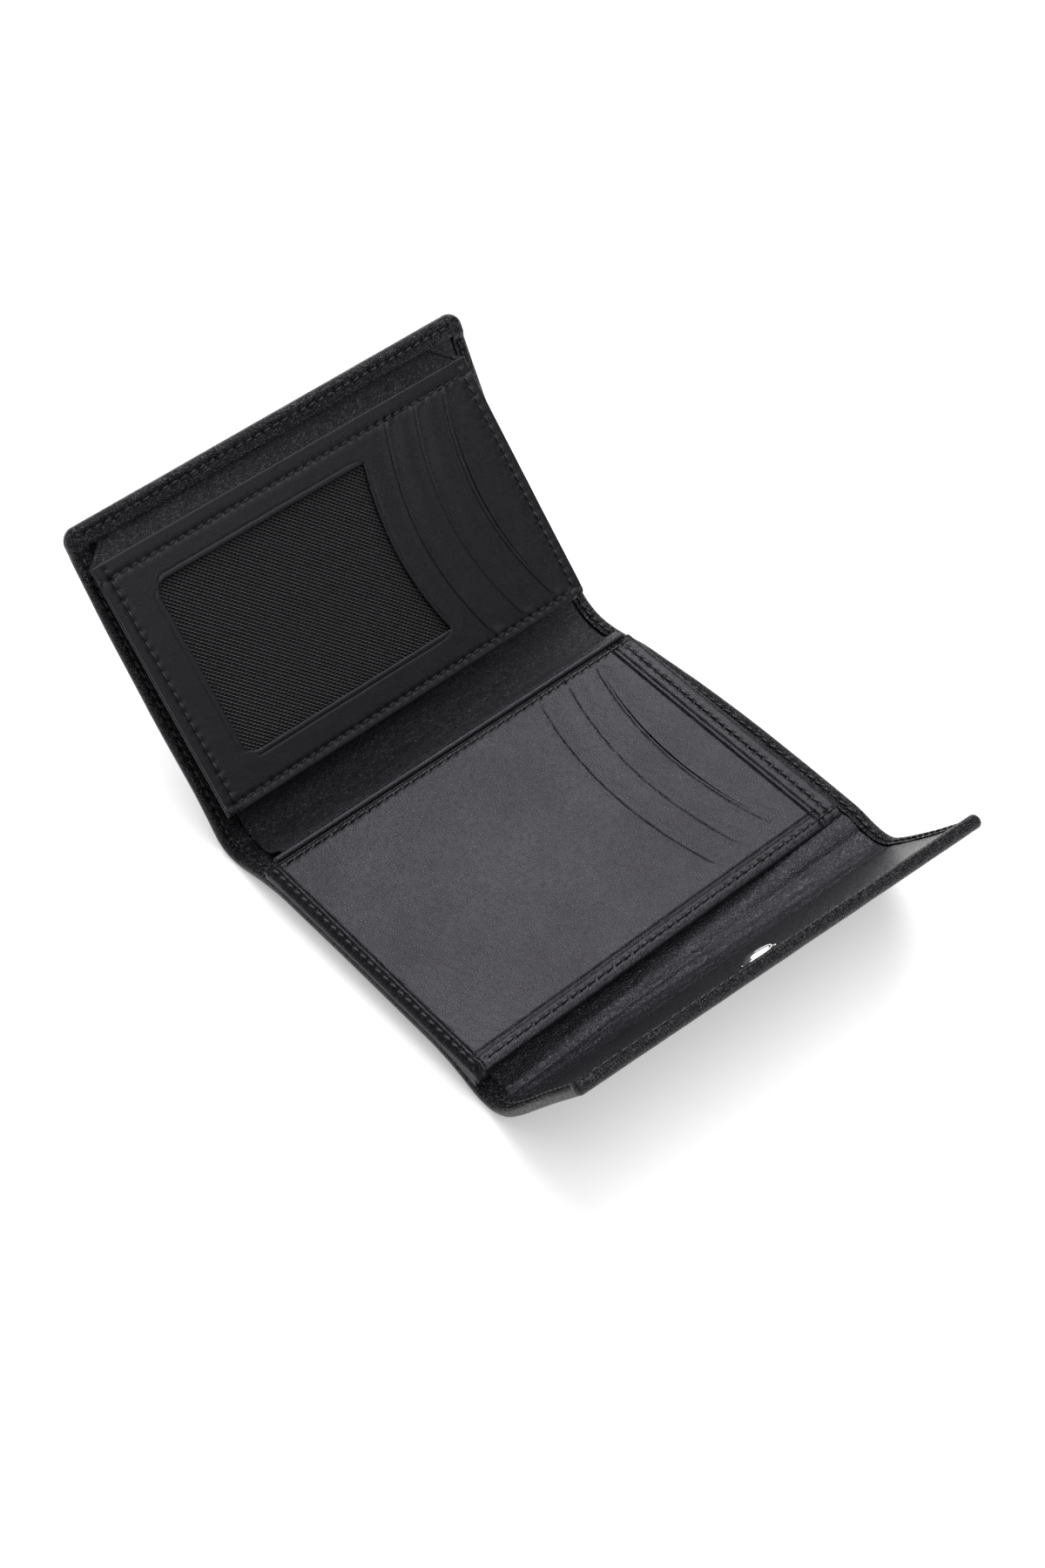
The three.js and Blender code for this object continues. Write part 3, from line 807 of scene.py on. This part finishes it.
def slit_relief(u, s, cuts):
    """Each slit's pocket side is lifted a little and has a pressed line beside it; its far side is lower."""
    relief = 0 * u
    for cut in cuts:
        beside = u - cut.low[0]
        starts = ease(s, cut.low[1] - 0.8, cut.low[1] + 1.5)
        ends = 1 - ease(s, cut.high[1] - 1.5, cut.high[1] + 0.8)
        lifted = 0.2 * ease(beside, -3.2, -0.3) * (beside < 0)
        lower = -(0.15 + 0.12 * cut.gape) * (1 - ease(beside, 0.2, 4)) * (beside > 0)
        pressed = 0.16 * bell(beside + 1.1, 0.16)
        relief = relief + starts * ends * (lifted + lower - pressed)
    return relief


def close_slit_ends(x, u, s, cuts):
    """Narrows each slit to nothing at its ends: its half width goes as gape times sqrt(4 t (1 - t))."""
    for cut in cuts:
        beside = u - cut.low[0]
        t = np.clip((s - cut.low[1]) / (cut.high[1] - cut.low[1]), 0, 1)
        width = np.maximum(cut.gape * np.sqrt(4 * t * (1 - t)), 0.08)
        x = np.where(np.abs(beside) <= SLIT_HALF + CLOSEST, x - beside * (1 - width), x)
    return x


def cell_centres(grid):
    """The middle of every cell of a grid."""
    return (grid[:-1, :-1] + grid[1:, 1:]) / 2


def outside_slits(u, s, cuts):
    """Which grid cells are leather: all but those between a slit's lips."""
    middle_u, middle_s = cell_centres(u), cell_centres(s)
    keep = np.ones(middle_u.shape, bool)
    for cut in cuts:
        within = (middle_s > cut.low[1]) & (middle_s < cut.high[1])
        keep &= ~((np.abs(middle_u - cut.low[0]) < SLIT_HALF) & within)
    return keep


# ---- Card panel on the middle panel
CARD_SLITS = [
    Cut((37.3, -26.9), (39.2, 32.4), -4.8, 2.3),
    Cut((28.3, -27.0), (31.0, 32.6), -4.6, 0.9),
    Cut((20.3, -27.3), (22.3, 32.0), -4.6, 0.8),
]
# Lines pressed with a hot iron, and seams: along x for the ends, along y for front and rear.
CLOSED_CREASE = CARD_X[0] + 2.5
OPEN_CREASES = (44.7, 46.0)
FRONT_CREASES = (-30.6, -31.5)
FRONT_SEAM = -32.9
REAR_SEAM = 34.0
OPEN_SEAM = 48.3
CLOSED_SEAM = -52.9
PRESSED = 0.17  # half width of a pressed line
MARGIN_DROP = 2.0
ROLL_DROP = 0.9  # of the front edge


def margin_fall(x):
    """How far the closed end's sewn margin slopes down towards the outer leather."""
    return MARGIN_DROP * ease(-x, -CARD_X[0] - 2.4, -CARD_X[0] + 0.5)


def card_top(x, y, u):
    """The card panel's upper face: pressed lines, slits, needle dips, and edges that roll over."""
    past_closed = ease(x, CLOSED_CREASE - 0.4, CLOSED_CREASE + 0.4)
    before_open = 1 - ease(x, OPEN_CREASES[1], OPEN_CREASES[1] + 0.6)
    across = 0.32 * bell(y - FRONT_CREASES[0], PRESSED) + 0.22 * bell(y - FRONT_CREASES[1], PRESSED)
    pressed = 0.26 * bell(x - CLOSED_CREASE, 0.2) + past_closed * before_open * across
    pressed = pressed + 0.4 * bell(x - OPEN_CREASES[0], PRESSED) + 0.3 * bell(x - OPEN_CREASES[1], PRESSED)
    dips = stitch_dips(y - FRONT_SEAM, x) + stitch_dips(y - REAR_SEAM, x)
    dips = dips + stitch_dips(x - OPEN_SEAM, y) + stitch_dips(x - CLOSED_SEAM, y)
    rolled = ROLL_DROP * ease(-y, -CARD_Y[0] - 2.0, -CARD_Y[0] + 0.6) + margin_fall(x)
    groove = 0.35 * bell(y - CARD_Y[1] + 1.6, 0.25)
    gathers = pucker(x - CLOSED_SEAM, y) + 0.4 * pucker(x - OPEN_SEAM, y) + 0.3 * pucker(y - FRONT_SEAM, x)
    swell = 0.12 * ripple(x, y, 75) + 0.03 * ripple(x, y, 11)
    return CARD_HIGH + swell + slit_relief(u, y, CARD_SLITS) - pressed - dips - rolled - groove + gathers


def card_panel():
    """The card panel: one piece of leather with three curved slits, sewn down all round but at the front."""
    columns = both_rims(CARD_X, 0.5) + slit_columns(CARD_SLITS)
    columns += marks_round((CLOSED_CREASE, *OPEN_CREASES, OPEN_SEAM, CLOSED_SEAM))
    rows = both_rims(CARD_Y, 0.5)
    rows += marks_round((*FRONT_CREASES, FRONT_SEAM, REAR_SEAM, CARD_Y[1] - 1.6))
    rows += [end[1] for cut in CARD_SLITS for end in (cut.low, cut.high)]
    u, y = np.meshgrid(lines(*CARD_X, 0.55, columns), lines(*CARD_Y, 0.5, rows))
    x = warp_columns(u, y, CARD_SLITS, (CARD_X[0], 2.0, OPEN_CREASES[0] - 0.6, CARD_X[1]))
    x = close_slit_ends(x, u, y, CARD_SLITS)
    distance = edge_distance(x, y, CARD_X, CARD_Y)
    high = card_top(x, y, u)
    top, bottom = rounded(high - (CARD_HIGH - CARD_LOW), high, distance, 0.5)
    panel = slab("card_panel_leather", on_level, x, y, top, bottom, PANEL, outside_slits(u, y, CARD_SLITS))
    attach(panel, "middle_panel", "panel_leather", "card_panel_front", "card_edge_open_end",
           "card_edge_rear", "card_edge_front")


def closed_end_welt():
    """The layers sewn together along the closed end, gathered between outer leather and card panel."""
    def top(x, s):
        return CARD_LOW + 0.2 - margin_fall(x)

    def bottom(x, s):
        return shell_height(x, s) + HEM_TOP - 0.2

    x_range = (CARD_X[0] - 0.05, CARD_X[0] + 3.4)
    y_range = (CARD_Y[0] + 1, CARD_Y[1] - 0.5)
    welt = sheet("closed_end_welt", on_level, x_range, y_range, bottom, top, LINING,
                 ("left", "low"), (0.4, 0.45))
    attach(welt, "middle_panel", "lining_leather", "card_edge_closed_end", "banknote_end_strip")


def round_section(count):
    """A circle of points, given as (side, up)."""
    turn = np.arange(count) * 2 * math.pi / count
    return np.stack([np.cos(turn), np.sin(turn)], 1)


def bar(name, place, x_range, s, height, radius, material):
    """A soft round bar along x whose ends close like a finger tip."""
    end = 0.8 * radius  # length of the rounded tip
    x = lines(*x_range, 0.8, both_rims(x_range, end))
    tip = np.minimum(x - x_range[0], x_range[1] - x)
    swell = radius * (1 - 0.95 * rim_drop(tip, end)) * (1 + 0.02 * ripple(x, 0 * x, 9))
    centres = place(x, s + 0 * x, height + 0 * x)
    ups = place(x, s + 0 * x, height + 1 + 0 * x) - centres
    sides = np.cross(ups, headings(centres, 0))
    return tube(name, centres, sides, ups, swell, round_section(16), material)


def piping():
    """The raised bead along the rear edge of the card panel."""
    bead = bar("rear_piping", on_level, (-51.6, 50.2), CARD_Y[1] - 0.62, CARD_HIGH + 0.08, 0.8, PANEL)
    attach(bead, "middle_panel", "panel_leather", "card_panel_piping")


CLOTH_THICK = 0.025
CLOTH_STEP = 0.03  # from one layer of cloth to the next


def pocket_cloths():
    """Woven liners and backing inside the card pockets, one just above the other."""
    for layer, cad in enumerate(
        ("card_pocket_backing", "card_pocket_liner_1", "card_pocket_liner_2", "card_pocket_liner_3")
    ):
        x_range, y_range = span(cad, 0), span(cad, 1)
        high = CARD_LOW - 0.165 + CLOTH_STEP * layer
        x_range = (x_range[0], min(x_range[1], OPEN_CREASES[0]))
        cloth = sheet(cad + "_cloth", on_level, x_range, y_range, flat(high - CLOTH_THICK), flat(high), CLOTH,
                      step=(4.0, 4.0))
        attach(cloth, "middle_panel", "pocket_fabric", cad)


# ---- Identity pouch
POUCH_X = span("pouch_front_leather", 0)
POUCH_LENGTH = 61.6
POUCH_LOW = -67.3  # its lower edge, from the hinge line
POUCH_WIDTH = POUCH_X[1] - POUCH_X[0]
WINDOW_X = (10.6, 68.1)
WINDOW_A = (9.6, 51.9)
WINDOW_BOW = -3.2
WINDOW_CORNER = 3.0
FRAME_LINE = 1.3  # the pressed line round the window, from its edge
POUCH_SLITS = [
    Cut((77.9, 3.6), (78.6, 57.4), -5.4, 0.9),
    Cut((87.0, 3.6), (86.9, 57.4), -5.4, 0.9),
    Cut((96.4, 3.6), (95.2, 57.4), -5.4, 0.9),
]
POUCH_SEAMS = {"closed_end": 2.6, "open_end": 2.3, "bottom": 2.1, "top": 3.7}
FRONT_TOP = 1.8
FRONT_THICK = 0.8


def in_pouch(u, b, h):
    """A place in the pouch measured from its lower corner at the closed end."""
    return on_pouch(POUCH_X[0] + u, POUCH_LOW + b, h)


def window_distance(u, b):
    """Distance outwards from the window's edge, with its corners rounded."""
    return -edge_distance(u, b, WINDOW_X, WINDOW_A, WINDOW_CORNER)


def pouch_top(u, b):
    """The pouch's face: a pressed frame round the window, lifted slits and needle dips."""
    seams = (u - POUCH_SEAMS["closed_end"], POUCH_WIDTH - u - POUCH_SEAMS["open_end"])
    level = (b - POUCH_SEAMS["bottom"], POUCH_LENGTH - b - POUCH_SEAMS["top"])
    dips = sum(stitch_dips(d, b) for d in seams) + sum(stitch_dips(d, u) for d in level)
    frame_line = 0.12 * bell(window_distance(u, b) - FRAME_LINE, 0.16)
    lip = 0.04 * bell(window_distance(u, b) - 0.5, 0.6)
    swell = 0.1 * ripple(u, b, 60) + 0.02 * ripple(u, b, 8)
    fine = slit_relief(u, b, POUCH_SLITS)
    last = POUCH_SLITS[2].low[0]
    along = ease(b, 8, 14) * (1 - ease(b, 48, 56))
    return FRONT_TOP + swell + fine + lip - dips - frame_line - 0.1 * bell(u - last + 1.9, 0.2) * along


def pouch_front():
    """The pouch's front leather with its window and three curved card slits."""
    size_u, size_b = (0, POUCH_WIDTH), (0, POUCH_LENGTH)
    columns = both_rims(size_u, 0.4) + slit_columns(POUCH_SLITS) + both_rims(WINDOW_X, 0.5, -1)
    columns += marks_round((WINDOW_X[0] - FRAME_LINE, WINDOW_X[1] + FRAME_LINE,
                            POUCH_SEAMS["closed_end"], POUCH_WIDTH - POUCH_SEAMS["open_end"]))
    rows = both_rims(size_b, 0.4) + both_rims(WINDOW_A, 0.5, -1)
    rows += marks_round((WINDOW_A[0] - FRAME_LINE, WINDOW_A[1] + FRAME_LINE,
                         POUCH_SEAMS["bottom"], POUCH_LENGTH - POUCH_SEAMS["top"]))
    rows += [end[1] for cut in POUCH_SLITS for end in (cut.low, cut.high)]
    u, b = np.meshgrid(lines(*size_u, 0.6, columns), lines(*size_b, 0.55, rows))
    window_side = Cut((WINDOW_X[1], WINDOW_A[0]), (WINDOW_X[1], WINDOW_A[1]), WINDOW_BOW, 1)
    keep = outside_slits(u, b, POUCH_SLITS)
    middle_u, middle_b = cell_centres(u), cell_centres(b)
    inside = (middle_u > WINDOW_X[0]) & (middle_u < WINDOW_X[1])
    keep &= ~(inside & (middle_b > WINDOW_A[0]) & (middle_b < WINDOW_A[1]))
    high = pouch_top(u, b)
    x, s = u, b
    for edge in WINDOW_A:
        way = 1 if edge == WINDOW_A[1] else -1
        centre = (WINDOW_X[0] + WINDOW_CORNER, edge - way * WINDOW_CORNER)
        x, s = round_corner(x, s, centre, (-1, way), WINDOW_CORNER)
    off_window = np.maximum.reduce([WINDOW_X[0] - u, u - WINDOW_X[1], WINDOW_A[0] - b, b - WINDOW_A[1]])
    outer = np.minimum(side_distance(u, b, size_u, size_b, ALL_SIDES), off_window)
    for centre, signs, radius in (((3, 3), (-1, -1), 3), ((POUCH_WIDTH - 1.5, 1.5), (1, -1), 1.5)):
        x, s = round_corner(x, s, centre, signs, radius)
    x = warp_columns(x, s, [window_side, *POUCH_SLITS], (0, WINDOW_X[0], 101, POUCH_WIDTH))
    x = close_slit_ends(x, u, b, POUCH_SLITS)
    top, bottom = rounded(high - FRONT_THICK, high, outer, 0.4)
    front = slab("pouch_front", in_pouch, x, s, top, bottom, POUCH, keep)
    attach(front, "identity_pouch", "panel_leather", "pouch_front_leather")


def on_wall(x, a, h):
    """The pouch's back wall: flat as the pouch, then bending down to where it is sewn under the top hem."""
    share = ease(a, -7, 0)[..., None]
    sewn = on_shell(x, BACK_TOP - TOP_HEM_WIDTH + 1 + a, 1.75 + h)
    return on_pouch(x, a, h) * (1 - share) + sewn * share


WALL_TAPER = 5.0  # how much narrower each side gets
WALL_SLANT = 4.2  # over this length above the pocket
WALL_RIM = 0.45
WALL_BAND = 1.8  # width of the sewn band along its slanted sides


def pouch_layers():
    """The tall back wall, whose upper part narrows to the hinge line, and the turned edges inside."""
    wall_x, wall_a = POUCH_X, (POUCH_LOW, 0.0)
    shoulder = POUCH_LOW + POUCH_LENGTH
    x_marks = both_rims(wall_x, WALL_RIM)
    x_marks += [edge + way * a for edge, way in zip(wall_x, (1, -1)) for a in (1.2, 1.6, 2.0, 2.4)]
    a_marks = rim_marks(wall_a[0], 1, WALL_RIM) + [shoulder]
    x, a = np.meshgrid(lines(*wall_x, 1.5, x_marks), lines(*wall_a, 0.6, a_marks))
    distance = side_distance(x, a, wall_x, wall_a, ("left", "right", "low"))
    fold = 0.12 * bell(distance - WALL_BAND, 0.25) * (a > shoulder)
    band = 0.3 * (1 - ease(distance, WALL_BAND - 0.3, WALL_BAND + 0.1)) * ease(a, shoulder - 1, shoulder)
    high = 0.35 + band - fold + 0.03 * ripple(x, a, 9)
    top, bottom = rounded(-WALL_RIM + 0 * x, high, distance, WALL_RIM)
    narrow = 1 - WALL_TAPER / (POUCH_WIDTH / 2) * np.clip((a - shoulder) / WALL_SLANT, 0, 1)
    middle = np.mean(wall_x)
    wall_piece = slab("pouch_wall", on_wall, middle + (x - middle) * narrow, a, top, bottom, LINING)
    attach(wall_piece, "identity_pouch", "lining_leather", "pouch_back_wall")
    inset = 0.25
    for cad, u_range, b_range in (
        ("pouch_edge_closed_end", (inset, 2.2), (inset, POUCH_LENGTH - inset)),
        ("pouch_edge_open_end", (POUCH_WIDTH - 2.2, POUCH_WIDTH - inset), (inset, POUCH_LENGTH - inset)),
        ("pouch_edge_bottom", (2.3, POUCH_WIDTH - 2.3), (inset, 2.2)),
    ):
        edge = sheet(cad + "_leather", in_pouch, u_range, b_range, flat(0.36), flat(0.98), POUCH,
                     step=(1.5, 1.5))
        attach(edge, "identity_pouch", "panel_leather", cad)
    backing = sheet("pouch_backing_cloth", in_pouch, (2.4, POUCH_WIDTH - 2.4), (2.4, POUCH_LENGTH - 0.6),
                    flat(0.42), flat(0.5), CLOTH, step=(4.0, 4.0))
    attach(backing, "identity_pouch", "pocket_fabric", "pouch_card_liner")


MESH_ROW = 0.78  # from one stepped thread to the next
MESH_WAVE = 0.9  # length of one step
MESH_THREAD = 0.12  # radius of a stepped thread
MESH_MARGIN = 1.5  # how far the mesh reaches under the leather


def mesh_threads():
    """The window's open twill mesh, whose threads run on the slant.

    Along its slant t a thread steps sideways by 0.14 sin(k t) and up by 0.1 cos(k t), with k one turn in
    MESH_WAVE. Straight thinner threads cross under it.
    """
    k = 2 * math.pi / MESH_WAVE
    stepped = slanted_threads(-1, MESH_ROW, MESH_WAVE / 4, MESH_THREAD,
                              lambda t: 0.14 * np.sin(k * t), lambda t: 0.8 + 0.1 * np.cos(k * t))
    straight = slanted_threads(1, MESH_WAVE, math.inf, MESH_THREAD / 3,
                               lambda t: 0 * t, lambda t: 0.6 + 0 * t)
    points = np.concatenate([stepped[0], straight[0]])
    faces = np.concatenate([stepped[1], straight[1] + len(stepped[0])])
    mesh = add_mesh("window_mesh_threads", in_pouch(*points.T), faces, MESH_YARN)
    attach(mesh, "identity_pouch", "window_mesh", "pouch_window_mesh")


def slanted_threads(way, pitch, step, radius, aside, height):
    """Threads at 45 degrees over the window, cut off a little way under the leather round it.

    A thread's middle is centre + offset across + t along. Its ends are where it leaves the window's
    rectangle, and its points are a step apart, or at its two ends only if step is endless.
    """
    low = np.array([WINDOW_X[0], WINDOW_A[0]]) - MESH_MARGIN
    high = np.array([WINDOW_X[1], WINDOW_A[1]]) + MESH_MARGIN
    centre = (low + high) / 2
    along = np.array([1, way]) / math.sqrt(2)
    across = np.array([-way, 1]) / math.sqrt(2)
    reach = (high - low).sum() / (2 * math.sqrt(2)) - MESH_MARGIN / 2
    offset = np.arange(-reach, reach, pitch)[:, None]
    ends = [((low - centre) - offset * across) / along, ((high - centre) - offset * across) / along]
    first = np.max(np.minimum(*ends), axis=1)
    last = np.min(np.maximum(*ends), axis=1)
    if step < math.inf:
        count = int(math.ceil((np.max(last) - np.min(first)) / step)) + 1
        t = np.min(first) + step * np.arange(count) + 0 * offset
    else:
        t = np.stack([first, last], 1)
    inside = (t >= first[:, None]) & (t <= last[:, None])
    side = offset + aside(t)
    plan = centre + side[..., None] * across + t[..., None] * along
    points = np.concatenate([plan, height(t)[..., None]], -1)
    return thread_bundle(points, radius, inside)


def thread_bundle(paths, radius, inside):
    """Points and quads of many threads, kept where inside is true.

    Their section is a square standing on its corner.
    """
    up = np.array([0, 0, 1.0])
    side = np.cross(headings(paths, 1), up)
    ring = np.stack([side, up + 0 * side, -side, -up + 0 * side], 2)
    points = paths[:, :, None, :] + radius * ring
    number, length = paths.shape[:2]
    index = np.arange(number * length * 4).reshape(number, length, 4)
    skin = skins(index)[inside[:, :-1] & inside[:, 1:]].reshape(-1, 4)
    rows = np.arange(number)
    first = inside.argmax(axis=1)
    last = length - 1 - inside[:, ::-1].argmax(axis=1)
    whole = inside.any(axis=1) & (last > first)
    caps = [index[rows, first][whole], index[rows, last][whole][:, ::-1]]
    return points.reshape(-1, 3), np.concatenate([skin, *caps])


# ---- Rolled edge and plaque on the flap
ROLL_RADIUS = 1.65
ROLL_CENTRE = (FLAP_EDGE + 1.7, 1.55)  # along s and w
ROLL_SEAM = (FLAP_EDGE + 0.62, 2.84)  # on the roll's outer shoulder


def rolled_edge():
    """The flap's free edge, rolled over a cord."""
    roll = bar("flap_roll", on_shell, (-HALF - 0.1, HALF + 0.1), *ROLL_CENTRE, ROLL_RADIUS, OUTER)
    attach(roll, "front_flap", "outer_leather", "flap_rolled_edge")


PLAQUE_SIZE = (4.7, 2.5)  # half its length and half its width
PLAQUE_ALONG = 24.6  # from the flap's crease to its middle
PLAQUE_DOME = 1.0
PLAQUE_BORDER = 0.84  # where the dome begins, as a share of the way to the rim


def plaque():
    """A plain oval plaque: a low dome inside a narrow flat border, with a rounded rim."""
    q = lines(-1, 1, 0.07, [-0.99, -0.96, -0.9, -0.82, 0.82, 0.9, 0.96, 0.99])
    p, q = np.meshgrid(q, q)
    u = p * np.sqrt(1 - q * q / 2)
    v = q * np.sqrt(1 - p * p / 2)
    r = np.hypot(u, v)
    middle_x = np.mean(span("plaque", 0))
    middle_s = FRONT_2 - PLAQUE_ALONG
    dome = PLAQUE_DOME * np.sqrt(np.clip(1 - (r / PLAQUE_BORDER) ** 2, 0, 1))
    top, bottom = rounded(LINING_TOP + 0.05 + 0 * r, LINING_TOP + 0.75 + dome, (1 - r) * PLAQUE_SIZE[1], 0.3)
    disc = slab("flap_plaque", on_shell, middle_x + u * PLAQUE_SIZE[0], middle_s + v * PLAQUE_SIZE[1], top,
                bottom, NICKEL)
    attach(disc, "front_flap", "polished_metal", "plaque", "plaque_washer", "plaque_post_1", "plaque_post_2")


# ---- Seams
def seams():
    """Every visible row of stitches."""
    raised = HEM_TOP + 0.06
    lengths = (
        ("rear_fold_1", "middle_rear", 0, REAR_CUT),
        ("rear_fold_2", "back", REAR_CUT, BACK_TOP - 5),
        ("front_fold_1", "middle_front", FRONT_CUT, 0),
        ("front_fold_2", "flap", FLAP_EDGE + 4, FRONT_CUT),
    )
    for end, x in (("closed_end", -HALF + HEM_SEAM), ("open_end", HALF - HEM_SEAM)):
        for where, name, low, high in lengths:
            row = seam(f"thread_{name}_{end}", on_shell, (x, low), (x, high), raised)
            attach(row, where, "outer_leather")
    for name, where, x, s, height in (
        ("top_hem", "back_panel", 49, BACK_TOP - HEM_SEAM, raised + TOP_HEM_RISE),
        ("flap_edge", "front_flap", 51, *ROLL_SEAM),
    ):
        attach(seam("thread_" + name, on_shell, (-x, s), (x, s), height), where, "outer_leather")
    card = CARD_HIGH + 0.02
    for name, start, end, height in (
        ("front", (-51, FRONT_SEAM), (49.5, FRONT_SEAM), card),
        ("rear", (-51, REAR_SEAM), (49.5, REAR_SEAM), card),
        ("open_end", (OPEN_SEAM, -31.5), (OPEN_SEAM, 33.5), card),
        ("closed_end", (CLOSED_SEAM, -32), (CLOSED_SEAM, 34), card - 0.35),
    ):
        row = seam("thread_card_panel_" + name, on_level, start, end, height)
        attach(row, "middle_panel", "panel_leather")
    low, high = POUCH_SEAMS["bottom"], POUCH_LENGTH - POUCH_SEAMS["top"]
    left, right = POUCH_SEAMS["closed_end"], POUCH_WIDTH - POUCH_SEAMS["open_end"]
    for name, start, end in (
        ("bottom", (left, low), (right, low)), ("top", (left, high), (right, high)),
        ("closed_end", (left, low), (left, high)), ("open_end", (right, low), (right, high)),
    ):
        row = seam("thread_pouch_" + name, in_pouch, start, end, FRONT_TOP + 0.02)
        attach(row, "identity_pouch", "panel_leather")


# ---- Stage, lights and camera
SURROUND = 0.14
FLOOR_GLOW = 0.4  # the floor gives off a little light, so that shadows stay pale
# name, azimuth and elevation it shines from, distance in metres, size in metres, watts
LIGHTS = (
    ("overhead_softbox", 8, 72, 1.2, (1.0, 1.0), 9.5),
    ("sheen_softbox", 139, 51, 1.2, (1.1, 1.1), 15.5),
)


def stage():
    """A pale floor, a large soft light behind and above, and a weak even surround."""
    corners = np.array([[-4, -4, 0], [4, -4, 0], [4, 4, 0], [-4, 4, 0]], float)
    material, tree = new_material("pale_paper_floor")
    shader = node(tree, "BsdfPrincipled", {"Base Color": linear("#f4f4f4"), "Roughness": 0.9,
                                           "Emission Color": (1, 1, 1, 1), "Emission Strength": FLOOR_GLOW})
    node(tree, "OutputMaterial", {"Surface": shader.outputs["BSDF"]})
    floor = add_mesh("floor", corners / MM, np.array([[0, 1, 2, 3]]), material)
    world = bpy.data.worlds.new("surround")
    world.use_nodes = True
    world.node_tree.nodes["Background"].inputs["Color"].default_value = (1, 1, 1, 1)
    world.node_tree.nodes["Background"].inputs["Strength"].default_value = SURROUND
    bpy.context.scene.world = world
    bpy.context.scene.view_settings.view_transform = "Standard"
    for name, azimuth, elevation, distance, size, power in LIGHTS:
        light = bpy.data.lights.new(name, "AREA")
        light.shape = "RECTANGLE"
        light.size, light.size_y = size
        light.energy = power
        lamp = bpy.data.objects.new(name, light)
        bpy.context.scene.collection.objects.link(lamp)
        back = direction(azimuth, elevation)
        lamp.location = back * distance
        lamp.rotation_mode = "QUATERNION"
        lamp.rotation_quaternion = back.to_track_quat("Z", "Y")


def direction(azimuth, elevation):
    """The unit vector towards a place: azimuth 0 is the front, -Y, and 90 is +X."""
    a, e = math.radians(azimuth), math.radians(elevation)
    return Vector((math.sin(a) * math.cos(e), -math.cos(a) * math.cos(e), math.sin(e)))


LENS = 62.13
CAMERA_FROM = (-40.52, 49.96)  # azimuth and elevation
CAMERA_ROLL = -0.57  # degrees about its own axis
CAMERA_TARGET = (2.98, 17.16, CARD_HIGH)
CAMERA_DISTANCE = 597.6


def camera():
    """A long lens over the closed end's front corner, turned a little about its own axis."""
    data = bpy.data.cameras.new("camera")
    data.lens = LENS
    data.sensor_width = 36
    data.clip_start = 0.01
    back = direction(*CAMERA_FROM)
    right = Vector((0, 0, 1)).cross(back).normalized()
    up = back.cross(right)
    roll = math.radians(CAMERA_ROLL)
    right, up = right * math.cos(roll) + up * math.sin(roll), up * math.cos(roll) - right * math.sin(roll)
    target = Vector(CAMERA_TARGET) * MM
    turn = Matrix((right, up, back)).transposed().to_4x4()
    lens = bpy.data.objects.new("camera", data)
    bpy.context.scene.collection.objects.link(lens)
    lens.matrix_world = Matrix.Translation(target + back * CAMERA_DISTANCE * MM) @ turn
    bpy.context.scene.camera = lens


camera()
stage()
outer_leather()
linings()
boards()
card_panel()
closed_end_welt()
piping()
pocket_cloths()
pouch_front()
pouch_layers()
mesh_threads()
rolled_edge()
plaque()
seams()
